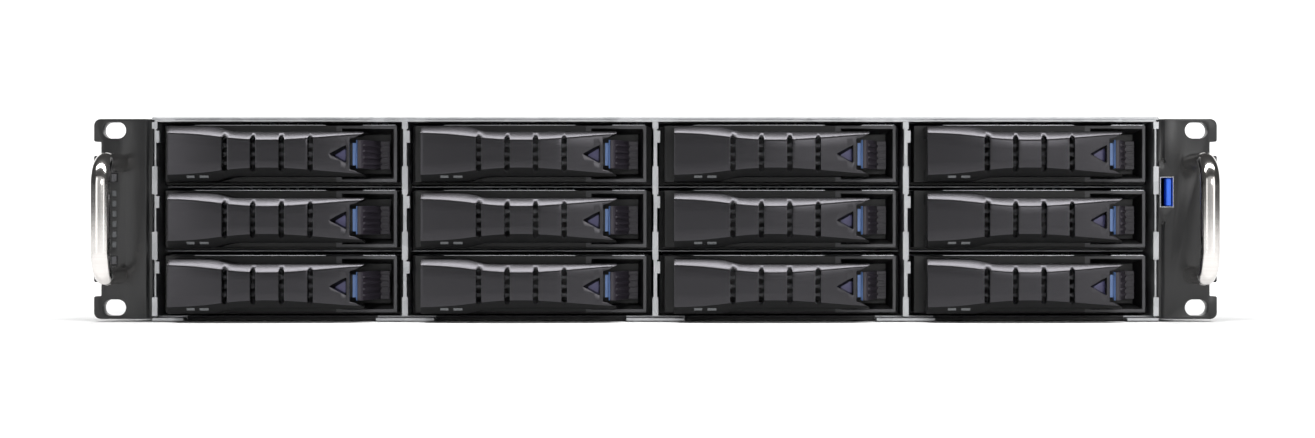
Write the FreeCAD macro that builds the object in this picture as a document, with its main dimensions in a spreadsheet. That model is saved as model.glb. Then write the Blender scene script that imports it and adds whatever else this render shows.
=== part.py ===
import FreeCAD, Part
import math
import operator
import os
from collections import namedtuple
from types import SimpleNamespace

import Sketcher

# A 2U rack server with twelve hot-swap drive trays, in millimetres.
# X runs to the right seen from the front, Y into the rack, Z up.
# The origin is the middle of the four rack slots, on the back faces of the ears.

COLUMNS = 4
ROWS = 3
VENTS = 4
RIBS = 4
LIGHTS = 6
HANDLE_SIDES = 8
FANS = 3
BORE_SIDES = 16
HUB_SIDES = 10
BAR_SIDES = 12
GROOVE_SIDES = 8
BLADES = 5
FINS = 9
MEMORY_BANK = 4
SLOT_COVERS = 6
INLET_PINS = 3

# name, millimetres, what it measures
SIZES = (
    ("drive_width", 101.6, "3.5 inch drive, across"),
    ("drive_height", 25.4, "3.5 inch drive, height"),
    ("drive_length", 147.0, "3.5 inch drive, front to back"),
    ("rail", 1.5, "tray rail beside the drive"),
    ("rail_height", 17.4, "tray rail, from the tray floor up"),
    ("tray_gap", 0.7, "room between a rail and its upright"),
    ("tray_floor", 0.6, "sheet under the drive"),
    ("run_gap", 0.25, "running room under a tray or power supply"),
    ("head_gap", 1.05, "room above a drive"),
    ("divider", 1.6, "upright between two columns"),
    ("shelf", 0.8, "shelf between two rows"),
    ("shelf_setback", 24.0, "shelf front behind the cage front"),
    ("liner", 0.7, "outer upright of the cage"),
    ("tab_half", 1.3, "wide tab of an upright, half width"),
    ("tab_depth", 4.0, "front tabs of an upright, front to back"),
    ("tab_low", 5.5, "row middle down to the tab below it"),
    ("tab_high", 10.6, "row middle up to the tab above it"),
    ("hook_reach", 2.1, "side tab of an upright, to the right"),
    ("hook_low", 4.7, "row middle up to the side tab"),
    ("hook_high", 9.8, "row middle up to the top of the side tab"),
    ("sheet", 1.2, "chassis sheet steel"),
    ("cage_reach", 6.5, "cage front ahead of the rack plane"),
    ("notch_edge", 12.5, "floor tab each side of an upright"),
    ("notch_depth", 8.0, "cut-back of the floor between its tabs"),
    ("bezel_side_gap", 3.8, "bay edge to bezel"),
    ("bezel_row_gap", 1.8, "row edge to bezel"),
    ("bezel_setback", 4.0, "bezel rim behind the cage front"),
    ("bezel_depth", 12.0, "bezel, front to back"),
    ("bezel_rim", 1.5, "rim around the thumb recess"),
    ("recess_length", 22.3, "thumb recess, across"),
    ("recess_depth", 10.0, "thumb recess, front to back"),
    ("recess_slope", 2.0, "inward slope of the recess walls"),
    ("tray_front", 1.5, "front plate of the tray frame"),
    ("drive_gap", 3.0, "bezel back to drive"),
    ("lever_inset", 4.2, "bezel edge to lever"),
    ("thumb_room", 12.8, "lever tip to bezel edge"),
    ("lever_edge_gap", 0.55, "bezel edge to lever edge, in height"),
    ("lever_back_gap", 1.0, "bezel front to lever back"),
    ("lever_drop", 0.5, "lever middle under the row middle"),
    ("shoulder", 19.0, "full-height root of the lever"),
    ("shoulder_run", 12.0, "slant from root to waist"),
    ("waist_end", 49.0, "lever edge to the end of the waist"),
    ("waist_drop", 2.1, "root edge down to waist edge"),
    ("tip_flare", 0.6, "outward slant of the bevels from the waist to the tip"),
    ("bevel_angle", 30.0, "lean of the bevels, in degrees"),
    ("bevel_reach", 8.0, "start of the bevels ahead of the cage front"),
    ("crest", 18.0, "front of the lever form ahead of the cage front"),
    ("bow_root", 12.6, "lever face at the root ahead of the cage front"),
    ("bow_tip", 10.5, "lever face at the tip ahead of the cage front"),
    ("bow_radius", 210.0, "bow of the lever face"),
    ("lever_skin", 1.8, "lever wall"),
    ("trough_half", 7.7, "hollow of the lever, half height"),
    ("end_depth", 5.5, "hollow of the lever end"),
    ("end_half", 4.6, "bottom of the lever end hollow, half height"),
    ("horn_drop", 1.1, "lever edge to horn tip"),
    ("vent_start", 24.8, "lever edge to the first vent"),
    ("vent_pitch", 12.05, "vent to vent"),
    ("vent_width", 2.4, "vent slot, across"),
    ("vent_edge", 2.1, "waist edge to the end of a vent"),
    ("arrow_setback", 14.1, "lever tip to arrow point"),
    ("arrow_length", 7.2, "arrow window, across"),
    ("arrow_half", 4.25, "arrow window, half height"),
    ("hinge_inset", 3.0, "lever edge to hinge line"),
    ("hinge_reach", 3.0, "hinge line ahead of the cage front"),
    ("hinge_radius", 1.7, "hinge bar on the bezel"),
    ("hinge_play", 0.05, "running room around a bar or shaft"),
    ("hinge_half", 6.0, "hinge bar, half height"),
    ("hinge_room", 0.4, "room at the ends of the hinge bar"),
    ("hinge_neck", 0.9, "neck that carries the hinge bar, half width"),
    ("button_half", 6.05, "release button, half height"),
    ("button_room", 0.5, "room around the release button"),
    ("button_front", 9.3, "release button face ahead of the cage front"),
    ("button_rim", 2.8, "blue rim, across"),
    ("button_wall", 2.6, "release button ramp wall"),
    ("button_travel", 3.0, "release button travel"),
    ("ramp_run", 5.5, "slope of the thumb ramp, across"),
    ("toe_run", 4.0, "level toe of the thumb ramp, across"),
    ("ramp_depth", 9.8, "ramp toe behind the cage front"),
    ("tongue_length", 13.3, "tongue under the arrow window"),
    ("tongue_half", 4.8, "tongue, half height"),
    ("tongue_thick", 1.6, "tongue"),
    ("rib_height", 0.5, "thumb rib, proud of the ramp"),
    ("rib_width", 0.9, "thumb rib, in height"),
    ("rib_pitch", 2.6, "rib to rib"),
    ("connector", 6.0, "backplane connector, front to back"),
    ("plug_width", 40.0, "backplane connector, across"),
    ("airway_width", 68.0, "backplane air window, across"),
    ("airway_height", 6.4, "backplane air window, in height"),
    ("backplane", 2.0, "backplane board"),
    ("slot_offset", 16.25, "chassis side to rack slot"),
    ("slot_rise", 76.2, "rack slots, centre to centre in height"),
    ("slot_width", 7.0, "rack slot, height"),
    ("slot_length", 10.0, "rack slot, across"),
    ("ear_margin", 8.75, "rack slot to the outer edge of the ear"),
    ("ear_edge", 4.9, "rack slot to the end of the ear"),
    ("ear_depth", 6.0, "ear plate, front to back"),
    ("ear_corner", 2.0, "cut corner of an ear"),
    ("ear_notch", 3.1, "edge notch, across"),
    ("ear_notch_height", 6.0, "edge notch, in height"),
    ("ear_block", 7.6, "ear housing beside the chassis, across"),
    ("ear_block_depth", 30.0, "ear housing behind the plate"),
    ("ear_groove", 2.0, "groove beside the chassis"),
    ("ear_groove_depth", 1.2, "groove beside the chassis, front to back"),
    ("handle_radius", 4.0, "handle bar"),
    ("handle_reach", 33.0, "ear face to the middle of the bar"),
    ("handle_offset", 14.3, "chassis side to the middle of the bar"),
    ("handle_half", 24.0, "half the distance between the legs"),
    ("handle_bend", 10.0, "bend of the bar"),
    ("usb_offset", 3.5, "chassis side to the USB port"),
    ("usb_rise", 11.6, "USB port above the middle"),
    ("usb_width", 6.0, "USB shell, across"),
    ("usb_height", 13.2, "USB shell, in height"),
    ("usb_depth", 14.0, "USB shell, front to back"),
    ("usb_wall", 0.4, "USB shell wall"),
    ("usb_tongue", 1.9, "USB tongue"),
    ("key_width", 2.2, "power and ID button, across"),
    ("key_height", 3.4, "power and ID button, in height"),
    ("key_length", 3.5, "power and ID button, front to back"),
    ("key_proud", 0.6, "power and ID button, proud of the ear"),
    ("key_travel", 0.8, "power and ID button travel"),
    ("key_room", 0.15, "room around a button"),
    ("key_rise", 17.8, "power and ID button from the middle"),
    ("light_width", 1.7, "indicator window, across"),
    ("light_height", 2.4, "indicator window, in height"),
    ("light_depth", 2.0, "indicator window, front to back"),
    ("light_pitch", 4.4, "indicator window to window"),
    ("fan_space", 40.0, "backplane to fans"),
    ("fan_depth", 38.0, "fan frame, front to back"),
    ("fan_gap", 2.5, "fan frame to floor and cover"),
    ("fan_wall", 1.6, "thinnest wall of a fan frame"),
    ("blade_gap", 1.0, "rotor to fan frame"),
    ("hub_radius", 17.0, "rotor hub"),
    ("hub_length", 24.0, "rotor hub, front to back"),
    ("blade_thick", 1.4, "rotor blade"),
    ("blade_chord", 22.0, "rotor blade, front to back"),
    ("blade_sweep", 12.0, "rotor blade, sideways lean"),
    ("shaft_radius", 1.5, "rotor shaft"),
    ("strut", 3.0, "stator strut"),
    ("board_space", 60.0, "fans to main board"),
    ("board_length", 330.0, "main board, front to back"),
    ("board_width", 305.0, "main board, across"),
    ("board_thick", 2.0, "main board"),
    ("board_rise", 8.0, "stand-off under the main board"),
    ("board_side_gap", 2.0, "chassis wall to main board"),
    ("board_rear_gap", 3.0, "main board to rear wall"),
    ("standoff_inset", 12.0, "main board edge to stand-off"),
    ("sink_spread", 70.0, "board middle to heat sink middle"),
    ("sink_setback", 115.0, "board front to heat sink middle"),
    ("sink_width", 90.0, "heat sink, across"),
    ("sink_length", 100.0, "heat sink, front to back"),
    ("sink_base", 8.0, "heat sink base"),
    ("sink_height", 56.0, "heat sink, in height"),
    ("fin", 1.2, "heat sink fin"),
    ("memory_length", 133.0, "memory module"),
    ("memory_height", 32.0, "memory module, in height"),
    ("memory_thick", 4.0, "memory module with its socket"),
    ("memory_pitch", 9.5, "memory module to module"),
    ("port_window", 158.8, "rear port opening, across"),
    ("port_window_height", 44.5, "rear port opening, in height"),
    ("port_depth", 18.0, "rear port, front to back"),
    ("port_wall", 1.0, "rim of a rear port"),
    ("port_gap", 10.0, "rear port to port"),
    ("stack_width", 15.0, "stacked rear port, across"),
    ("stack_height", 16.0, "stacked rear port, in height"),
    ("jack_width", 16.5, "network jack, across"),
    ("jack_height", 13.5, "network jack, in height"),
    ("wide_port", 31.0, "wide rear port, across"),
    ("cover_pitch", 20.3, "expansion slot to slot"),
    ("cover_width", 18.4, "expansion slot cover, across"),
    ("cover_opening", 13.0, "expansion slot opening, across"),
    ("cover_height", 72.0, "expansion slot cover, in height"),
    ("supply_width", 73.5, "power supply, across"),
    ("supply_length", 185.0, "power supply, front to back"),
    ("supply_shelf", 1.0, "plates of the power supply bay"),
    ("supply_head", 1.2, "room above a power supply"),
    ("supply_side_gap", 3.0, "chassis wall to power supply"),
    ("supply_proud", 1.0, "power supply face behind the rear wall"),
    ("inlet_width", 28.0, "power inlet, across"),
    ("inlet_height", 20.0, "power inlet, in height"),
    ("inlet_depth", 17.0, "power inlet, front to back"),
    ("inlet_pin", 2.0, "power inlet pin"),
    ("inlet_pitch", 7.0, "power inlet pin to pin"),
    ("supply_edge", 1.5, "power supply edge to its handle and fan recess"),
    ("grille_half", 17.0, "power supply fan recess, half width"),
    ("grille_depth", 3.0, "power supply fan recess, front to back"),
    ("pull_reach", 24.0, "power supply handle behind the face"),
    ("pull_width", 30.0, "power supply handle, across"),
    ("pull_height", 8.0, "power supply handle bar, in height"),
    ("pull_thick", 4.0, "power supply handle bar"),
    ("latch_width", 9.0, "power supply latch, across"),
    ("latch_height", 12.0, "power supply latch, in height"),
    ("latch_reach", 12.0, "power supply latch behind the face"),
    ("latch_thick", 2.4, "power supply latch tab"),
    ("latch_travel", 2.5, "power supply latch travel"),
    ("lip", 1.0, "rear cover side lip"),
    ("lip_height", 8.0, "rear cover side lip, in height"),
    ("lip_gap", 0.4, "room beside the rear cover lip"),
    ("cover_gap", 0.6, "joint between the covers"),
    ("grip_length", 70.0, "finger recess on the rear cover, across"),
    ("grip_width", 18.0, "finger recess on the rear cover, front to back"),
    ("grip_depth", 0.5, "finger recess on the rear cover, in depth"),
)

SIGNS = {"+": operator.add, "-": operator.sub, "*": operator.mul, "/": operator.truediv}
TURNS = {
    "X": FreeCAD.Rotation(FreeCAD.Vector(0, 1, 0), 90),
    "Y": FreeCAD.Rotation(FreeCAD.Vector(1, 0, 0), -90),
    "Z": FreeCAD.Rotation(),
}
Circle = namedtuple("Circle", "x y radius")
Slot = namedtuple("Slot", "x y length width")


class Size:
    """A length with its number and the sheet expression that gives it."""

    def __init__(self, value, text):
        self.value = value
        self.text = text

    def __add__(self, other):
        return join(self, "+", other)

    def __radd__(self, other):
        return join(other, "+", self)

    def __sub__(self, other):
        return join(self, "-", other)

    def __rsub__(self, other):
        return join(other, "-", self)

    def __mul__(self, other):
        return join(self, "*", other)

    def __rmul__(self, other):
        return join(other, "*", self)

    def __truediv__(self, other):
        return join(self, "/", other)

    def __neg__(self):
        return join(0, "-", self)


def as_size(number):
    """The number as a Size, whether it comes from the sheet or is plain."""
    if isinstance(number, Size):
        return number
    return Size(float(number), f"({number:g})")


def join(left, sign, right):
    """Two lengths joined by an arithmetic sign."""
    first = as_size(left)
    second = as_size(right)
    value = SIGNS[sign](first.value, second.value)
    return Size(value, f"({first.text} {sign} {second.text})")


def bind(thing, path, size):
    """Ties a property to the sheet."""
    thing.setExpression(path, as_size(size).text)


def place(thing, x, y, z):
    """Ties a piece's place to the sheet."""
    for axis, value in zip("xyz", (x, y, z)):
        bind(thing, f"Placement.Base.{axis}", value)


def box(name, across, along, up):
    """A block between two values on each of X, Y and Z."""
    block = doc.addObject("Part::Box", name)
    for path, (low, high) in zip(("Length", "Width", "Height"), (across, along, up)):
        bind(block, path, as_size(high) - low)
    place(block, across[0], along[0], up[0])
    return block


def rod(name, axis, start, radius, length):
    """A round bar that starts at a point and runs along an axis."""
    bar = doc.addObject("Part::Cylinder", name)
    bar.Placement = FreeCAD.Placement(FreeCAD.Vector(), TURNS[axis])
    bind(bar, "Radius", radius)
    bind(bar, "Height", length)
    place(bar, *start)
    return bar


def group(name, pieces):
    """Separate solids kept together."""
    bundle = doc.addObject("Part::Compound", name)
    bundle.Links = list(pieces)
    return bundle


def cut(name, base, *tools):
    """The base less its tools."""
    result = doc.addObject("Part::Cut", name)
    result.Base = base
    result.Tool = tools[0] if len(tools) == 1 else group(name + "_tools", tools)
    return result


def common(name, base, tool):
    """What two forms share."""
    result = doc.addObject("Part::Common", name)
    result.Base = base
    result.Tool = tool
    return result


def mirrored(name, source):
    """The source on the other side of the server."""
    result = doc.addObject("Part::Mirroring", name)
    result.Source = source
    result.Normal = FreeCAD.Vector(1, 0, 0)
    return result


def new_body(name):
    """An empty body."""
    return doc.addObject("PartDesign::Body", name)


def origin_feature(body, role):
    """One of the body's own planes or axes."""
    return next(item for item in body.Origin.OriginFeatures if item.Role == role)


def sketch(body, plane, offset):
    """An empty sketch on one of the body's planes, moved along the plane's normal."""
    page = body.newObject("Sketcher::SketchObject", body.Name + "_sketch")
    page.AttachmentSupport = [(origin_feature(body, plane + "_Plane"), "")]
    page.MapMode = "FlatFace"
    bind(page, "AttachmentOffset.Base.z", offset)
    return page


def arc_between(start, finish, radius, side):
    """The short arc from start to finish with its centre on the left (1) or right (-1)."""
    chord = finish - start
    middle = (start + finish) * 0.5
    left = FreeCAD.Vector(-chord.y, chord.x, 0).normalize()
    depth = math.sqrt(radius ** 2 - (chord.Length / 2) ** 2)
    centre = middle + left * (depth * side)
    first, last = (start, finish) if side > 0 else (finish, start)
    angles = [math.atan2(point.y - centre.y, point.x - centre.x) for point in (first, last)]
    return Part.ArcOfCircle(Part.Circle(centre, FreeCAD.Vector(0, 0, 1), radius), *angles)


def fix_point(rules, bound, geometry, point, x, y):
    """Rules that hold a sketch point at two sheet values."""
    for rule, value in (("DistanceX", x), ("DistanceY", y)):
        bound.append((len(rules), value))
        rules.append(Sketcher.Constraint(rule, -1, 1, geometry, point, as_size(value).value))


def apply_rules(page, rules, bound):
    """Adds a loop's rules to the sketch and ties their values to the sheet."""
    first = page.ConstraintCount
    page.addConstraint(rules)
    for index, value in bound:
        bind(page, f"Constraints[{first + index}]", value)


def draw_outline(page, corners):
    """A closed loop; a corner with a radius and a side starts an arc, any other a straight run."""
    first = page.GeometryCount
    count = len(corners)
    points = [FreeCAD.Vector(as_size(corner[0]).value, as_size(corner[1]).value, 0) for corner in corners]
    ends = []
    for index, corner in enumerate(corners):
        start = points[index]
        finish = points[(index + 1) % count]
        if len(corner) == 2:
            page.addGeometry(Part.LineSegment(start, finish))
            ends.append((1, 2))
        else:
            page.addGeometry(arc_between(start, finish, as_size(corner[2]).value, corner[3]))
            ends.append((1, 2) if corner[3] > 0 else (2, 1))
    rules = []
    bound = []
    for index, corner in enumerate(corners):
        following = (index + 1) % count
        joint = (first + index, ends[index][1], first + following, ends[following][0])
        rules.append(Sketcher.Constraint("Coincident", *joint))
        fix_point(rules, bound, first + index, ends[index][0], corner[0], corner[1])
        if len(corner) > 2:
            bound.append((len(rules), corner[2]))
            rules.append(Sketcher.Constraint("Radius", first + index, as_size(corner[2]).value))
    apply_rules(page, rules, bound)


def draw_circle(page, circle):
    """A round loop."""
    geometry = page.GeometryCount
    centre = FreeCAD.Vector(as_size(circle.x).value, as_size(circle.y).value, 0)
    radius = as_size(circle.radius)
    page.addGeometry(Part.Circle(centre, FreeCAD.Vector(0, 0, 1), radius.value))
    rules = []
    bound = []
    fix_point(rules, bound, geometry, 3, circle.x, circle.y)
    bound.append((len(rules), radius))
    rules.append(Sketcher.Constraint("Radius", geometry, radius.value))
    apply_rules(page, rules, bound)


def draw_slot(page, slot):
    """A loop with straight sides and round ends, lying along the sketch's first axis."""
    first = page.GeometryCount
    radius = as_size(slot.width / 2)
    reach = (slot.length - slot.width) / 2
    centres = (slot.x + reach, slot.x - reach)
    right, left = (FreeCAD.Vector(x.value, as_size(slot.y).value, 0) for x in centres)
    up = FreeCAD.Vector(0, radius.value, 0)
    normal = FreeCAD.Vector(0, 0, 1)
    quarter = math.pi / 2
    page.addGeometry(Part.LineSegment(left - up, right - up))
    page.addGeometry(Part.ArcOfCircle(Part.Circle(right, normal, radius.value), -quarter, quarter))
    page.addGeometry(Part.LineSegment(right + up, left + up))
    page.addGeometry(Part.ArcOfCircle(Part.Circle(left, normal, radius.value), quarter, 3 * quarter))
    rules = []
    bound = []
    for index in range(4):
        touch = (first + index, 2, first + (index + 1) % 4, 1)
        rules.append(Sketcher.Constraint("Tangent", *touch))
    rules.append(Sketcher.Constraint("Equal", first + 1, first + 3))
    fix_point(rules, bound, first + 1, 3, centres[0], slot.y)
    fix_point(rules, bound, first + 3, 3, centres[1], slot.y)
    bound.append((len(rules), radius))
    rules.append(Sketcher.Constraint("Radius", first + 1, radius.value))
    apply_rules(page, rules, bound)


def draw(page, loop):
    """Draws any kind of loop."""
    if isinstance(loop, Circle):
        draw_circle(page, loop)
    elif isinstance(loop, Slot):
        draw_slot(page, loop)
    else:
        draw_outline(page, loop)


def rectangle(left, right, low, high):
    """The corners of an upright rectangle."""
    return [(left, low), (right, low), (right, high), (left, high)]


def many_sided(count, x, y, radius):
    """The corners of a regular outline that stands for a circle."""
    corners = []
    for index in range(count):
        turn = 2 * math.pi * index / count
        corners.append((x + radius * math.cos(turn), y + radius * math.sin(turn)))
    return corners


def around(middle, half):
    """The two ends of a stretch around its middle."""
    return middle - half, middle + half


def pad(body, plane, low, high, *loops):
    """Adds material between two values along the plane's normal."""
    page = sketch(body, plane, -as_size(high) if plane == "XZ" else low)
    for loop in loops:
        draw(page, loop)
    feature = body.newObject("PartDesign::Pad", body.Name + "_pad")
    feature.Profile = page
    bind(feature, "Length", as_size(high) - low)
    return feature


def pocket(body, plane, low, high, *loops):
    """Takes material away between two values along the plane's normal."""
    doc.recompute()
    before = body.Shape.Volume
    page = sketch(body, plane, -as_size(low) if plane == "XZ" else high)
    for loop in loops:
        draw(page, loop)
    feature = body.newObject("PartDesign::Pocket", body.Name + "_pocket")
    feature.Profile = page
    bind(feature, "Length", as_size(high) - low)
    doc.recompute()
    if body.Shape.Volume >= before:
        raise RuntimeError(f"a pocket in {body.Name} cuts nothing")
    return feature


def node(thing, label):
    """Names a finished sub-part."""
    thing.Label = label
    nodes.append(thing)
    return thing


def bay_left(column):
    """The left edge of a column of bays."""
    return bay_pitch * (column - COLUMNS / 2)


def row_middle(row):
    """The middle height of a row of bays, counted from the top."""
    return row_pitch * ((ROWS - 1) / 2 - row)


def vent_middle(index):
    """The middle of a lever vent, from the bay's left edge."""
    return lever_left + s.vent_start + s.vent_pitch * index


def air_loop():
    """The air opening of a tray, behind the lever vents."""
    left = vent_middle(0) - s.vent_pitch / 2
    right = vent_middle(VENTS - 1) + s.vent_pitch / 2
    return rectangle(left, right, *around(lever_middle, vent_half))


def hinge_bar_loop():
    """The hinge bar, round in front where the lever pulls on it and many-sided behind."""
    corners = many_sided(BAR_SIDES, hinge_x, hinge_y, s.hinge_radius)
    corners[BAR_SIDES * 2 // 3] += (s.hinge_radius, 1)
    del corners[BAR_SIDES * 3 // 4]
    return corners


def make_bezel():
    """Moulded tray front with an air opening, a thumb recess and a hinge bar on a neck."""
    body = new_body("bezel")
    pad(body, "XZ", bezel_front, bezel_back, rectangle(bezel_left, bezel_right, -bezel_half, bezel_half))
    pocket(body, "XZ", bezel_front, bezel_back, air_loop())
    neck = rectangle(*around(hinge_x, s.hinge_neck), hinge_y, bezel_front)
    for loop in (neck, hinge_bar_loop()):
        pad(body, "XY", *around(lever_middle, s.hinge_half), loop)
    recess_right = bezel_right - s.bezel_rim
    mouth = (recess_right - s.recess_length, recess_right)
    recess_half = bezel_half - s.bezel_rim
    floor_half = recess_half - s.recess_slope
    funnel = doc.addObject("Part::Wedge", "thumb_recess")
    ends = (
        ("X", mouth),
        ("Y", (bezel_front, bezel_front + s.recess_depth)),
        ("Z", (-recess_half, recess_half)),
        ("X2", (mouth[0] + s.recess_slope, mouth[1] - s.recess_slope)),
        ("Z2", (-floor_half, floor_half)),
    )
    for axis, (low, high) in ends:
        bind(funnel, axis + "min", low)
        bind(funnel, axis + "max", high)
    return cut("bezel_front", body, funnel)


def make_tray_frame():
    """Sheet frame of a tray: floor, two rails and a front plate with an air opening."""
    body = new_body("tray_frame")
    left = s.divider / 2 + s.tray_gap
    right = bay_pitch - left
    top = tray_bottom + s.rail_height
    channel = [
        (left, tray_bottom),
        (right, tray_bottom),
        (right, top),
        (right - s.rail, top),
        (right - s.rail, drive_bottom),
        (left + s.rail, drive_bottom),
        (left + s.rail, top),
        (left, top),
    ]
    pad(body, "XZ", bezel_back, drive_end, channel)
    plate = rectangle(left, right, tray_bottom, bezel_half)
    pad(body, "XZ", bezel_back, bezel_back + s.tray_front, plate, air_loop())
    return body


def make_drive():
    """Plain closed body of a drive."""
    left = s.divider / 2 + s.tray_gap + s.rail
    sides = (left, left + s.drive_width)
    return box("drive", sides, (drive_start, drive_end), (drive_bottom, drive_bottom + s.drive_height))


def lever_corners(tip):
    """The lever seen from the front: a full root, a slant to the waist and straight edges to the tip."""
    start = lever_left + s.shoulder
    finish = start + s.shoulder_run
    waist_x = lever_left + s.waist_end
    middle = lever_middle
    return [
        (lever_left, middle - root_half),
        (start, middle - root_half),
        (finish, middle - waist_half),
        (waist_x, middle - waist_half),
        (lever_tip, middle - tip),
        (lever_tip, middle + tip),
        (waist_x, middle + waist_half),
        (finish, middle + waist_half),
        (start, middle + root_half),
        (lever_left, middle + root_half),
    ]


def lean(body, feature, neutral_y, angle):
    """Leans the upper and lower sides of a pad inward from the plane at neutral_y to its front."""
    doc.recompute()
    sides = []
    for number, face in enumerate(feature.Shape.Faces, start=1):
        turned = face.normalAt(0.5, 0.5)
        if abs(turned.z) > abs(turned.x) and abs(turned.z) > abs(turned.y):
            sides.append(f"Face{number}")
        if turned.y > 0.5 and abs(face.CenterOfMass.y - neutral_y.value) < 0.01:
            neutral = f"Face{number}"
    leaning = body.newObject("PartDesign::Draft", body.Name + "_lean")
    leaning.Base = (feature, sides)
    leaning.NeutralPlane = (feature, [neutral])
    leaning.Reversed = True
    bind(leaning, "Angle", angle)
    return leaning


def make_lever():
    """Bowed, waisted pull lever: a hollow moulding with vents, arrow window and hollowed end."""
    form = new_body("lever_form")
    bevelled = pad(form, "XZ", crest_y, bevel_y, lever_corners(waist_half + s.tip_flare))
    lean(form, bevelled, bevel_y, s.bevel_angle)
    pad(form, "XZ", bevel_y, lever_back, lever_corners(waist_half))
    outline = new_body("lever_outline")
    pad(outline, "XZ", crest_y, lever_back, lever_corners(waist_half))
    bow = new_body("lever_bow")
    bow_loop = [
        (lever_left, lever_back),
        (lever_tip, lever_back),
        (lever_tip, front - s.bow_tip, s.bow_radius, -1),
        (lever_left, front - s.bow_root),
    ]
    pad(bow, "XY", *around(lever_middle, bezel_half), bow_loop)
    block = common("lever_block", common("lever_bevelled", form, outline), bow)

    behind = lever_back + s.lever_skin
    beyond = lever_tip + s.lever_skin
    wall_y = front - s.bow_tip + s.lever_skin
    trough_left = hinge_x + s.hinge_radius + s.lever_skin
    trough = box("lever_trough", (trough_left, beyond), (wall_y, behind), around(lever_middle, s.trough_half))
    hinge_up = around(lever_middle, s.hinge_half + s.hinge_room)
    swing = (lever_left - s.lever_skin, hinge_x + s.hinge_neck + s.hinge_room)
    throat = box("hinge_throat", swing, (hinge_y - s.hinge_neck, behind), hinge_up)
    groove = new_body("hinge_groove")
    groove_radius = (s.hinge_radius + s.hinge_play) / math.cos(math.pi / GROOVE_SIDES)
    pad(groove, "XY", *hinge_up, many_sided(GROOVE_SIDES, hinge_x, hinge_y, groove_radius))
    vents = []
    for index in range(VENTS):
        sides = around(vent_middle(index), s.vent_width / 2)
        vents.append(box(f"vent_{index + 1}", sides, (crest_y, behind), around(lever_middle, vent_half)))
    arrow_left = lever_tip - s.arrow_setback
    arrow_right = arrow_left + s.arrow_length
    arrow = new_body("arrow_window")
    arrow_corners = [
        (arrow_left, lever_middle),
        (arrow_right, lever_middle - s.arrow_half),
        (arrow_right, lever_middle + s.arrow_half),
    ]
    pad(arrow, "XZ", crest_y, behind, arrow_corners)
    horn_half = waist_half - s.horn_drop
    end_x = lever_tip - s.end_depth
    hollow = new_body("lever_end")
    hollow_corners = [
        (end_x, lever_middle - s.end_half),
        (lever_tip, lever_middle - horn_half),
        (lever_tip, lever_middle + horn_half),
        (end_x, lever_middle + s.end_half),
    ]
    pad(hollow, "XZ", crest_y, behind, hollow_corners)
    nest = box(
        "button_nest",
        (button_left - s.button_travel - s.button_room, beyond),
        (button_face - s.button_room, behind),
        around(lever_middle, s.button_half + s.button_room),
    )
    return cut("lever", block, trough, throat, groove, *vents, arrow, hollow, nest)


def make_button():
    """Thumb button: a blue rim and a ribbed scoop on a tongue that slides under the lever face."""
    body = new_body("button")
    tongue_front = button_face + s.tongue_thick
    tongue = rectangle(
        button_left - s.tongue_length, button_left + s.button_rim, tongue_front, tongue_front + s.tongue_thick
    )
    pad(body, "XY", *around(lever_middle, s.tongue_half), tongue)
    ramp_top = button_left + s.button_rim
    ramp_foot = ramp_top + s.ramp_run
    ramp_end = ramp_foot + s.toe_run
    ramp_back = front + s.ramp_depth
    rim_back = tongue_front + s.tongue_thick
    shoulder = s.tongue_thick / 2
    profile = [
        (button_left, rim_back),
        (button_left, button_face + shoulder),
        (button_left + shoulder, button_face),
        (ramp_top - shoulder, button_face),
        (ramp_top, button_face + shoulder),
        (ramp_foot, ramp_back),
        (ramp_end, ramp_back),
        (ramp_end, ramp_back + s.tongue_thick),
        (ramp_foot - s.button_wall, ramp_back + s.tongue_thick),
        (ramp_top - s.button_wall, rim_back),
    ]
    pad(body, "XY", *around(lever_middle, s.button_half), profile)
    rib_front = button_face + s.tongue_thick
    lean = s.ramp_run / (ramp_back - button_face - shoulder)
    rib_top = ramp_top + lean * (rib_front - button_face - shoulder)
    rib = [
        (rib_top - s.rib_height, rib_front),
        (rib_top + s.rib_height, rib_front),
        (ramp_foot + s.rib_height, ramp_back - s.rib_height),
        (ramp_end, ramp_back - s.rib_height),
        (ramp_end, ramp_back),
        (ramp_foot - s.rib_height, ramp_back),
    ]
    lowest = lever_middle - s.rib_pitch * ((RIBS - 1) / 2)
    first_rib = pad(body, "XY", *around(lowest, s.rib_width / 2), rib)
    ribs = body.newObject("PartDesign::LinearPattern", "button_ribs")
    ribs.Originals = [first_rib]
    ribs.Direction = (origin_feature(body, "Z_Axis"), [""])
    ribs.Occurrences = RIBS
    bind(ribs, "Length", s.rib_pitch * (RIBS - 1))
    body.Tip = ribs
    return body


def make_trays():
    """Twelve trays with their levers and release buttons."""
    tray = [make_bezel(), make_tray_frame(), make_drive()]
    kinds = (("drive_tray", tray), ("tray_lever", [make_lever()]), ("release_button", [make_button()]))
    for row in range(ROWS):
        for column in range(COLUMNS):
            for kind, pieces in kinds:
                label = f"{kind}_r{row + 1}c{column + 1}"
                copy = node(group(label, pieces), label)
                place(copy, bay_left(column), 0, row_middle(row))


def upright(name, low, high, tab, hook):
    """A cage upright with wide tabs at the row gaps and side tabs above the row middles."""
    body = new_body(name)
    base = -half_in + s.shelf
    top = half_in - s.shelf
    pad(body, "XZ", front, cage_rear, rectangle(low, high, base, top))
    tabs = []
    for row in range(ROWS):
        middle = row_middle(row)
        tab_base = base if row == ROWS - 1 else row_middle(row + 1) + s.tab_high
        tabs.append(rectangle(*tab, tab_base, middle - s.tab_low))
        if hook:
            tabs.append(rectangle(low, hook, middle + s.hook_low, middle + s.hook_high))
    tabs.append(rectangle(*tab, row_middle(0) + s.tab_high, top))
    pad(body, "XZ", front, front + s.tab_depth, *tabs)
    return body


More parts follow.
